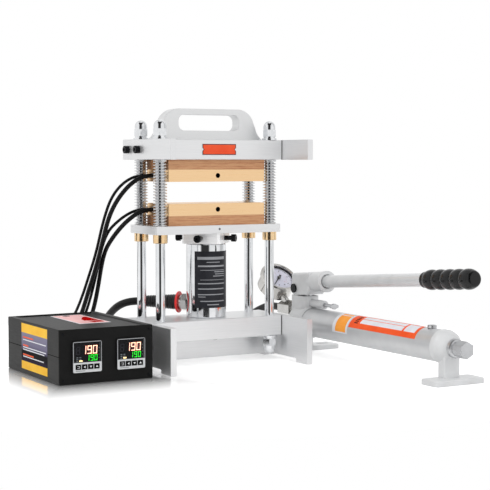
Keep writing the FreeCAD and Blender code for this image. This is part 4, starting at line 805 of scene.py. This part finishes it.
def write_digit(shape, place, digit, corner, size, thick, layer, kind, grow=0.0):
    """Writes one lit digit; grow widens its segments for the glow behind them."""
    for name in SEGMENTS_OF[digit]:
        u0, u1, v0, v1 = segment_bars(size[0], size[1], thick)[name]
        cut = thick * 0.28
        if name in "adg":
            u0, u1 = u0 + cut, u1 - cut
        else:
            v0, v1 = v0 + cut * (v0 > 0), v1 - cut * (v1 < size[1])
        upright = box_outline(u0 - grow, u1 + grow, v0 - grow, v1 + grow)
        outline = [(corner[0] + u + DIGIT_SLANT * v, corner[1] + v) for u, v in upright]
        shape.slab(place, outline, *layer, kind)


def display(name, left):
    """A smoked window with a measured value in red, a set value in green, and small indicators."""
    shape = Shape(name, [
        smoked_window, glow_red, glow_hot, glow_green, glow_amber, unlit_segment, grey_legend, glow_halo,
    ])
    front = facing_front(RECESS)

    def place(u, v, h):
        return front(left + u, CONTROLLER_LOW + v, h)

    shape.slab(place, box_outline(2.65, 45.35, 15.65, 45.35), *WINDOW_H, 0)
    for digit, u in (("1", 14.6), ("9", 24.0), ("0", 33.2)):
        if digit != "1":
            shape.slab(place, box_outline(u + 1.6, u + 7.4, 29.6, 40.2), *HAZE_H, 7)
        write_digit(shape, place, digit, (u, 28.6), (7.0, 12.6), 1.0, EDGE_H, 1, HALO_WIDER)
        write_digit(shape, place, digit, (u, 28.6), (7.0, 12.6), 1.0, CORE_H, 2)
    for digit, u in (("1", 22.2), ("9", 29.2), ("0", 35.8)):
        write_digit(shape, place, digit, (u, 17.6), (4.8, 9.2), 0.9, CORE_H, 3)
    write_digit(shape, place, "8", (4.8, 28.0), (6.8, 12.4), 1.3, DIM_H, 5)
    for i in range(3):
        for k in range(2):
            u, v = 5.6 + 5.0 * k, 22.6 - 2.9 * i
            if (i, k) != (2, 1):
                shape.slab(place, box_outline(u, u + 3.2, v, v + 1.5), *DIM_H, 6)
    shape.slab(place, box_outline(10.4, 15.8, 16.8, 19.0), *CORE_H, 4)
    for u0, u1, v0, v1 in ((0.9, 2.6, 15.6, 47.1), (45.4, 47.1, 15.6, 47.1), (2.6, 45.4, 45.4, 47.1)):
        shape.slab(place, box_outline(u0, u1, v0, v1), *BORDER_H, 0)
    for i in range(4):
        shape.slab(place, box_outline(43.1, 44.6, 21.0 + 5.2 * i, 22.2 + 5.2 * i), *DIM_H, 6)
    shape.slab(place, box_outline(4.0, 20.0, 2.0, 2.8), *LEGEND_H, 6)
    return shape.done("press_set", "plastic_black")


KEY_PRINT_H = (0.01, 0.06)
RETURN_LOOP = ((-1.9, 1.9, 1.2, 1.8), (-1.9, 1.9, -1.8, -1.2), (1.4, 2.0, -1.2, 1.2))
ARROW = ((0, 1.9), (-2.0, -1.3), (2.0, -1.3))
ARROW_TURN = {"shift": 90, "down": 180, "up": 0}


def key_mark(name, left, number, mark, body):
    """The printed mark on one key: a return loop, an arrow to the left, down or up."""
    middle_u = left + CONTROLLER_WIDE / 2 + (number - 1.5) * KEY_PITCH
    middle_v = CONTROLLER_LOW + KEY_MIDDLE_V
    front = facing_front(KEY_FRONT)

    def place(u, v, h):
        return front(middle_u + u, middle_v + v, h)

    shape = Shape(name, [ink_white])
    if mark == "set":
        for bar in RETURN_LOOP:
            shape.slab(place, box_outline(*bar), *KEY_PRINT_H)
    else:
        turn_by = math.radians(ARROW_TURN[mark])
        cosine, sine = math.cos(turn_by), math.sin(turn_by)
        shape.slab(place, [(u * cosine - v * sine, u * sine + v * cosine) for u, v in ARROW], *KEY_PRINT_H)
    return shape.done(body, "plastic_black")


for side, left in zip(("left", "right"), CONTROLLER_LEFT):
    display(side + "_display", left)
    for number, mark in enumerate(KEY_FACES):
        key_mark(side + "_" + mark + "_mark", left, number, mark, side + "_" + mark)


# Gauge dial and pointer

GAUGE_MIDDLE = (214.0, 118.237, 116.068)
GAUGE_LEAN = math.radians(40.0)
DIAL_R, DIAL_LOW, DIAL_HIGH = 29.9, 12.0, 12.4
INK = (DIAL_HIGH + 0.01, DIAL_HIGH + 0.05)
SWEEP_START, SWEEP = 135.0, 270.0
OUTER_TICKS, INNER_TICKS, ARC_PIECES = 50, 25, 40
ARC_R = (26.4, 26.8)


def on_gauge(x, y, h):
    """Places on the leaning gauge: x to the right, y up its face, h out of it."""
    return at(GAUGE_MIDDLE[0] + x,
              GAUGE_MIDDLE[1] + y * math.cos(GAUGE_LEAN) - h * math.sin(GAUGE_LEAN),
              GAUGE_MIDDLE[2] + y * math.sin(GAUGE_LEAN) + h * math.cos(GAUGE_LEAN))


def dial_spot(share, radius):
    """The point at a share of the scale, at a radius."""
    angle = math.radians(SWEEP_START - SWEEP * share)
    return -math.sin(angle) * radius, math.cos(angle) * radius


def radial_bar(shape, share, inner, outer, wide, kind):
    """A printed tick that lies along the dial's radius."""
    (x0, y0), (x1, y1) = dial_spot(share, inner), dial_spot(share, outer)
    across_x, across_y = (y1 - y0) / (outer - inner) * wide / 2, -(x1 - x0) / (outer - inner) * wide / 2
    shape.slab(on_gauge, [(x0 - across_x, y0 - across_y), (x0 + across_x, y0 + across_y),
                          (x1 + across_x, y1 + across_y), (x1 - across_x, y1 - across_y)], *INK, kind)


def printed_number(shape, words, middle, size, kind):
    """Adds a number's shapes to the dial, as closed slabs."""
    text = bpy.data.curves.new("words", "FONT")
    text.body = words
    text.size = size
    text.align_x = "CENTER"
    text.align_y = "CENTER"
    text.resolution_u = 3
    text.extrude = (INK[1] - INK[0]) / 2
    holder = show("words", text)
    flat = evaluated_mesh(holder)
    made = [shape.mesh.verts.new(on_gauge(middle[0] + v.co.x, middle[1] + v.co.y, sum(INK) / 2 + v.co.z))
            for v in flat.vertices]
    for polygon in flat.polygons:
        shape.face([made[i] for i in polygon.vertices], kind, False)
    bpy.data.objects.remove(holder)


dial = Shape("gauge_dial", [dial_face, ink_black, ink_red, guard_rubber])
dial.turned(on_gauge, [(2.0, DIAL_LOW), (DIAL_R, DIAL_LOW), (DIAL_R, DIAL_HIGH), (2.0, DIAL_HIGH)], 0, 64)
# A black ring up the bezel's inner wall, from the dial's edge towards the glass, is painted shade of the
# deep bezel.
dial.turned(on_gauge, [(28.3, DIAL_HIGH), (DIAL_R, DIAL_HIGH), (DIAL_R, 15.6), (28.9, 15.6)], 3, 64)
for i in range(OUTER_TICKS + 1):
    inner, wide = (24.6, 0.25) if i % 5 else (23.2, 0.55)
    radial_bar(dial, i / OUTER_TICKS, inner, ARC_R[0], wide, 1)
for i in range(INNER_TICKS + 1):
    radial_bar(dial, i / INNER_TICKS, 15.4, 17.0 if i % 5 else 17.8, 0.28, 2)
for i in range(6):
    printed_number(dial, str(i * 2), dial_spot(i / 5, 20.4), 4.4, 1)
for i in range(3):
    printed_number(dial, str(i * 5), dial_spot(i / 2, 12.6), 2.8, 2)
for i in range(ARC_PIECES):
    first, second = i / ARC_PIECES, (i + 1) / ARC_PIECES
    dial.slab(on_gauge, [dial_spot(first, ARC_R[0]), dial_spot(second, ARC_R[0]),
                         dial_spot(second, ARC_R[1]), dial_spot(first, ARC_R[1])], *INK, 1)
for u in (-6.0, 6.0):
    dial.slab(on_gauge, circle(u, -16.5, 1.3, 12), *INK, 1)
dial.done("press_set", "lens")

# The pointer stands for the CAD needle, whose solid lies up the dial: it rests on the scale's zero.
POINTER = (
    (0.45, 25.0), (-0.45, 25.0), (-1.1, 2.0), (-1.7, -4.5), (-2.3, -9.0),
    (2.3, -9.0), (1.7, -4.5), (1.1, 2.0),
)
POINTER_LOW, POINTER_HIGH = 14.55, 15.25
HUB = [(0, POINTER_HIGH), (3.4, POINTER_HIGH), (3.4, 15.9), (2.9, 16.25), (0, 16.3)]
HUB_RIVET = [(0, 16.3), (1.2, 16.3), (1.1, 16.6), (0, 16.75)]


def on_pointer(x, y, h):
    """Places on the dial, turned so that y runs along the pointer at rest."""
    cosine, sine = math.cos(math.radians(SWEEP_START)), math.sin(math.radians(SWEEP_START))
    return on_gauge(x * cosine - y * sine, x * sine + y * cosine, h)


pointer = Shape("gauge_pointer", [needle_paint, gauge_steel])
pointer.slab(on_pointer, POINTER, POINTER_LOW, POINTER_HIGH, 0)
pointer.turned(on_pointer, HUB, 0, 32)
pointer.turned(on_pointer, HUB_RIVET, 1, 20)
pointer_piece = pointer.done("needle", "needle_black")
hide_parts("gauge_needle")


# Plates, labels and stickers, without their words and pictures

BEAM_FRONT = -47.5
NAMEPLATE = (-32.5, 32.4, 356.0, 374.7)


def notched(x0, x1, z0, z1, inset, notch):
    """A rectangle with a V notch in the middle of each short end."""
    x0, x1, z0, z1 = x0 + inset, x1 - inset, z0 + inset, z1 - inset
    middle = (z0 + z1) / 2
    return [(x0, z0), (x1, z0), (x1, middle - notch), (x1 - notch, middle), (x1, middle + notch),
            (x1, z1), (x0, z1), (x0, middle + notch), (x0 + notch, middle), (x0, middle - notch)]


def label(name, materials, place, pieces, finish="bezel_silver"):
    """Flat pieces on one face: each has its outline, foot, top and the number of its material."""
    shape = Shape(name, materials)
    for outline, low, high, kind in pieces:
        shape.slab(place, outline, low, high, kind)
    shape.done("press_set", finish)


on_beam, on_side, on_lid = facing_front(BEAM_FRONT), facing_left(BOX_LEFT), facing_up(84.0)
label("nameplate", [zinc, dark_enamel, label_red], on_beam, [
    (notched(*NAMEPLATE, 0.0, 2.6), 0.0, 0.7, 0),
    (notched(*NAMEPLATE, 0.3, 2.6), 0.7, 0.8, 1),
    (notched(*NAMEPLATE, 1.5, 2.4), 0.8, 0.88, 2),
])

CYLINDER_R = 34.4
CYLINDER_LABEL = (207.0, 338.0, 95.0, 192.0)


def on_cylinder(u, v, h):
    """Places on the cylinder: u in degrees round it, v up it."""
    angle = math.radians(u)
    return at((CYLINDER_R + h) * math.cos(angle), (CYLINDER_R + h) * math.sin(angle), v)


foil = Shape("cylinder_label", [label_grey, ink_pale])
foil.tile(on_cylinder, CYLINDER_LABEL[:2], CYLINDER_LABEL[2:], 0.02, 0.22, 0, 40)
FOIL_RULES = (
    (216, 303, 177.8, 182.6), (243, 284, 172.8, 174.0), (218, 303, 165.4, 168.0), (225, 303, 159.4, 160.2),
    (266, 303, 156.2, 157.6), (268, 303, 152.6, 153.8), (262, 303, 149.0, 150.4), (225, 303, 142.8, 143.6),
    (218, 303, 135.8, 137.6), (218, 301, 126.8, 128.6), (218, 300, 117.2, 118.8), (219, 240, 113.4, 114.6),
    (225, 302, 105.8, 107.4), (245, 281, 99.8, 101.4),
)
for first, last, low, high in FOIL_RULES:
    foil.tile(on_cylinder, (first, last), (low, high), 0.23, 0.26, 1, max(4, (last - first) // 4))
foil.done("press_set", "plastic_black")

label("box_side_label", [label_yellow, violet_print, label_white, label_signal], on_side, [
    (box_outline(-32, 79, 7.5, 82.0), 0.02, 0.2, 1),
    (box_outline(-32, 79, 67.0, 82.0), 0.2, 0.25, 0),
    (box_outline(-32, 79, 7.5, 20.6), 0.2, 0.25, 0),
    *((box_outline(-25, end, low, low + 1.7), 0.2, 0.24, 2)
      for end, low in ((73.6, 54.6), (73.6, 42.5), (66.8, 38.7), (64.0, 27.3))),
    *((box_outline(-25.5, end, low, low + 2.3), 0.2, 0.24, 3)
      for end, low in ((19.4, 58.5), (-2.2, 45.4), (20.8, 30.2))),
])
label("box_top_label", [label_white, label_pink, label_dark_red, ink_black], on_lid, [
    (box_outline(-258, -203, -50, 75), 0.02, 0.18, 0),
    (box_outline(-255.4, -204.6, -46.5, 73.4), 0.18, 0.22, 1),
    ([(-234, -12), (-208, -12), (-208, 41), (-214, 41), (-230, 10)], 0.22, 0.26, 2),
    ([(-228, -38), (-208, -38), (-208, -17), (-231, -17)], 0.22, 0.26, 2),
    (circle(-233.5, 65.0, 6.5, 16), 0.22, 0.26, 3),
])

TUBE_MIDDLE = (214.0, 55.5)
TUBE_R = 26.0
HATCHES, HATCH_FROM, HATCH_PITCH, HATCH_WIDE = 5, 14, 8.5, 4.5


def on_tube(u, v, h):
    """Places on the reservoir tube: u in degrees from its top towards the press, v along Y."""
    angle = math.radians(u)
    radius = TUBE_R + h
    return at(TUBE_MIDDLE[0] - radius * math.sin(angle), v, TUBE_MIDDLE[1] + radius * math.cos(angle))


tube_label = Shape("tube_labels", [label_white, label_orange, label_signal, ink_black])
for around, along, low, high, kind, steps in (
    ((8, 100), (-156, -111), 0.03, 0.18, 0, 24), ((24, 95), (-151, -120), 0.19, 0.23, 1, 20),
    ((10, 20), (-151, -120), 0.19, 0.23, 1, 4), ((3, 72), (-345, -158), 0.03, 0.18, 2, 20),
    ((29, 50), (-304, -186), 0.19, 0.23, 0, 10), ((9, 26), (-304, -186), 0.19, 0.23, 0, 10),
    ((9, 50), (-338, -309), 0.19, 0.23, 0, 10),
):
    tube_label.tile(on_tube, around, along, low, high, kind, steps)
for i in range(HATCHES):
    start = HATCH_FROM + HATCH_PITCH * i
    tube_label.tile(on_tube, (start, start + HATCH_WIDE), (-180, -170), 0.19, 0.22, 3, 3)
tube_label.done("press_set", "bezel_silver")


# Small pieces

SCREW_IN = 6.5
SCREW_HEAD = [(0, 0.0), (2.2, 0.0), (2.2, 0.5), (1.7, 1.0), (1.0, 1.1), (0.9, 0.4), (0, 0.4)]
# Parting lines are drawn as thin dark strips.
# The case's parting line is drawn as a thin dark strip; the frame's joints get thin dark strips of painted
# shade.
LINE = (0.01, 0.05)

screws = Shape("panel_screws", [black_oxide])
on_panel = facing_front(BOX_FRONT)
for u in (BOX_LEFT + SCREW_IN, BOX_RIGHT - SCREW_IN):
    for v in (6.0, 79.5):
        def on_screw(x, y, h, u=u, v=v):
            return on_panel(u + x, v + y, h)
        screws.turned(on_screw, SCREW_HEAD, 0, 20)
screws.done("press_set", "steel_dark")

SEAM = box_outline(-93.0, 126.0, 43.5 - 0.45, 43.5 + 0.45)
seam = Shape("case_seam", [shadow_gap])
for side_place in (on_side, lambda u, v, h: at(BOX_RIGHT + h, u, v)):
    seam.slab(side_place, SEAM, *LINE)
seam.done("press_set", "case_black")
# Dark strips at the right ends of the beams' fronts are painted shade where the beams meet the wings.
label("frame_joint_painted_shade", [shadow_gap], on_beam, [
    (box_outline(123.4, 124.45, *level), *LINE, 0) for level in ((348.3, 381.7), (42.5, 76.9))
], "frame_metal")

on_plate = facing_front(-49.5)
MARK_DISC = [(0, 0.01), (2.0, 0.01), (2.0, 0.06), (0, 0.06)]
mark = Shape("plate_mark", [ink_grey])
mark.turned(lambda x, y, h: on_plate(-0.4 + x, 230.7 + y, h), MARK_DISC, 0, 20)
mark.done("platen", "frame_metal")

ROCKER_MIDDLE = (-290.0, 91.5, 62.0)
ROCKER_TURN = math.radians(7.0)
ROCKER_FACE = 4.4
ROCKER_RING = [(1.2, -0.35), (1.8, -0.35), (1.8, 0.15), (1.2, 0.15)]


def on_rocker(u, v, h):
    """Places on the tipped rocker: u along it seen from behind, v up, h out of the box."""
    x, y = -u, ROCKER_FACE + h
    cosine, sine = math.cos(ROCKER_TURN), math.sin(ROCKER_TURN)
    return at(ROCKER_MIDDLE[0] + x * cosine - y * sine, ROCKER_MIDDLE[1] + x * sine + y * cosine,
              ROCKER_MIDDLE[2] + v)


rocker_marks = Shape("rocker_marks", [ink_white])
rocker_marks.slab(on_rocker, box_outline(-5.2, -4.6, -1.8, 1.8), -0.35, 0.1)
rocker_marks.turned(lambda x, y, h: on_rocker(5.0 + x, y, h), ROCKER_RING, 0, 24)
rocker_marks.done("rocker", "needle_black")


# Stage: floor, world and lamps

WHITE = (1.0, 1.0, 1.0, 1.0)
FLOOR_REACH, FLOOR_SIDES = 0.68, 64
FLOOR_DROP = 0.0002
# What the floor gives off of itself: to the camera or through glass, and to mirrors
SEEN_LIFT, MIRRORED_LIFT = 0.5, 0.3
BOX_FOOT_MIDDLE, BOX_FOOT_HALF = (-246.0, -18.0), (80.0, 108.0)
POLISH_REACH, POLISH_FALL = 165.0, (2.0, 1.155)


def floor_material():
    """Pale studio floor: the camera and mirrors see it white, less its shadow; polished round the box."""
    made, tree = begin("pale_studio_floor")
    rays = add(tree, "ShaderNodeLightPath").outputs
    matt = add(tree, "ShaderNodeBsdfDiffuse", {"Color": hue("#E6E6E6")})
    sharp = (rays["Is Camera Ray"], rays["Is Transmission Ray"])
    seen = add(tree, "ShaderNodeMath", sharp, operation="MAXIMUM")
    mirrored = add(tree, "ShaderNodeMath", (rays["Is Glossy Ray"], MIRRORED_LIFT), operation="MULTIPLY")
    lift = add(tree, "ShaderNodeMath", (seen, SEEN_LIFT, mirrored), operation="MULTIPLY_ADD")
    glow = add(tree, "ShaderNodeEmission", {"Color": WHITE, "Strength": lift})
    both = add(tree, "ShaderNodeAddShader", (matt, glow))
    place = add(tree, "ShaderNodeTexCoord").outputs["Object"]
    spot = add(tree, "ShaderNodeVectorMath", (place, at(*BOX_FOOT_MIDDLE, 0)), operation="SUBTRACT")
    spot = add(tree, "ShaderNodeVectorMath", (spot,), operation="ABSOLUTE")
    half = (BOX_FOOT_HALF[0] * MM, BOX_FOOT_HALF[1] * MM, 0.0)
    spot = add(tree, "ShaderNodeVectorMath", (spot, half), operation="SUBTRACT")
    beyond = add(tree, "ShaderNodeSeparateXYZ", (spot,)).outputs
    sideways = add(tree, "ShaderNodeMath", (beyond["X"], POLISH_FALL[0]), operation="MULTIPLY")
    forwards = add(tree, "ShaderNodeMath", (beyond["Y"], POLISH_FALL[1]), operation="MULTIPLY")
    away = add(tree, "ShaderNodeMath", (sideways, forwards), operation="MAXIMUM")
    polish = add(tree, "ShaderNodeMapRange", (away, 0.0, POLISH_REACH * MM, 0.92, 0.05))
    sheen = add(tree, "ShaderNodeBsdfGlossy", {"Color": WHITE, "Roughness": 0.07})
    mixed = add(tree, "ShaderNodeMixShader", (polish, both, sheen))
    add(tree, "ShaderNodeOutputMaterial", {"Surface": mixed})
    return made


floor_mesh = bpy.data.meshes.new("floor")
floor_edge = [at(x, y, 0) for x, y in circle(0, 0, FLOOR_REACH / MM, FLOOR_SIDES)]
floor_mesh.from_pydata([(v.x, v.y, -FLOOR_DROP) for v in floor_edge], [], [tuple(range(FLOOR_SIDES))])
floor = show("floor", floor_mesh)
floor_mesh.materials.append(floor_material())

world = bpy.data.worlds.new("studio")
bpy.context.scene.world = world
world.use_nodes = True
sky = world.node_tree
sky.nodes.clear()
parts = add(sky, "ShaderNodeSeparateXYZ", (add(sky, "ShaderNodeTexCoord").outputs["Generated"],)).outputs
height = parts["Z"]


def level_dot(x, y):
    """How far the direction points along a level direction, as x times its X plus y times its Y."""
    one = add(sky, "ShaderNodeMath", (parts["X"], x), operation="MULTIPLY")
    two = add(sky, "ShaderNodeMath", (parts["Y"], y), operation="MULTIPLY")
    return add(sky, "ShaderNodeMath", (one, two), operation="ADD")


CARD_MIDDLE = CAMERA_YAW + math.radians(4.0)
near = level_dot(-math.sin(CARD_MIDDLE), -math.cos(CARD_MIDDLE))
aside = level_dot(math.cos(CARD_MIDDLE), -math.sin(CARD_MIDDLE))
bearing = add(sky, "ShaderNodeMath", (aside, near), operation="ARCTAN2")
# The cards look wider higher up, as panels that lean in over the set would.
narrowing = add(sky, "ShaderNodeMapRange", (height, 0.35, 0.95, 1.0, 0.3), interpolation_type="SMOOTHSTEP")
# Upright cards: bearing, half width and soft edge in degrees, and the share of light that each leaves.
# The first, behind the camera, gives the posts and the cylinder their dark band.
CARDS = ((0.0, 24.0, 5.0, 0.04), (104.0, 10.0, 8.0, 0.6), (-145.0, 8.0, 8.0, 0.7))


def card(middle, half, soft, dark):
    """A dark upright card: full light outside it, dark within half degrees of its bearing."""
    away = add(sky, "ShaderNodeMath", (bearing, math.radians(middle)), operation="SUBTRACT")
    away = add(sky, "ShaderNodeMath", (away,), operation="ABSOLUTE")
    away = add(sky, "ShaderNodeMath", (away, narrowing), operation="MULTIPLY")
    inner, outer = math.radians(half - soft), math.radians(half + soft)
    return add(sky, "ShaderNodeMapRange", (away, inner, outer, dark, 1.0), interpolation_type="SMOOTHSTEP")


studio = card(*CARDS[0])
for sizes in CARDS[1:]:
    studio = add(sky, "ShaderNodeMath", (studio, card(*sizes)), operation="MULTIPLY")
from_level = add(sky, "ShaderNodeMath", (height, -0.07), operation="SUBTRACT")
from_level = add(sky, "ShaderNodeMath", (from_level,), operation="ABSOLUTE")
card_share = add(sky, "ShaderNodeMapRange", (
    from_level, 1.02, 1.06, 1.0, 0.0,
), interpolation_type="SMOOTHSTEP")
# Only a surface that the camera sees directly, or in one mirror, shows the cards.
rays = add(sky, "ShaderNodeLightPath").outputs
first = add(sky, "ShaderNodeMath", (rays["Ray Depth"], 2.5), operation="LESS_THAN")
card_share = add(sky, "ShaderNodeMath", (card_share, first), operation="MULTIPLY")
room = add(sky, "ShaderNodeMix", {0: card_share, 2: 1.0, 3: studio}, data_type="FLOAT")
fill = add(sky, "ShaderNodeMapRange", (height, -0.2, 0.9, 0.7, 0.85))
level = add(sky, "ShaderNodeMix", {0: rays["Is Diffuse Ray"], 2: room, 3: fill}, data_type="FLOAT")
strength = add(sky, "ShaderNodeMix", {0: rays["Is Camera Ray"], 2: level, 3: 1.0}, data_type="FLOAT")
backdrop = add(sky, "ShaderNodeBackground", {"Color": WHITE, "Strength": strength})
add(sky, "ShaderNodeOutputWorld", {"Surface": backdrop})


def soft_lamp(name, place, target, size, power):
    """A square soft box that looks at a point."""
    data = bpy.data.lights.new(name, "AREA")
    data.shape = "SQUARE"
    data.size = size
    data.energy = power
    lamp = show(name, data)
    lamp.location = place
    lamp.rotation_euler = (target - place).to_track_quat("-Z", "Y").to_euler()
    lamp.visible_glossy = False
    return lamp


aim = at(0, 0, 180)
soft_lamp("overhead_box", at(-200, -300, 2400), aim, 2.4, 16.0)
soft_lamp("front_box", at(600, -2600, 1300), aim, 2.2, 14.0)
soft_lamp("left_box", at(-2600, -500, 1200), aim, 2.0, 12.0)

view = bpy.context.scene.view_settings
view.view_transform = "Standard"
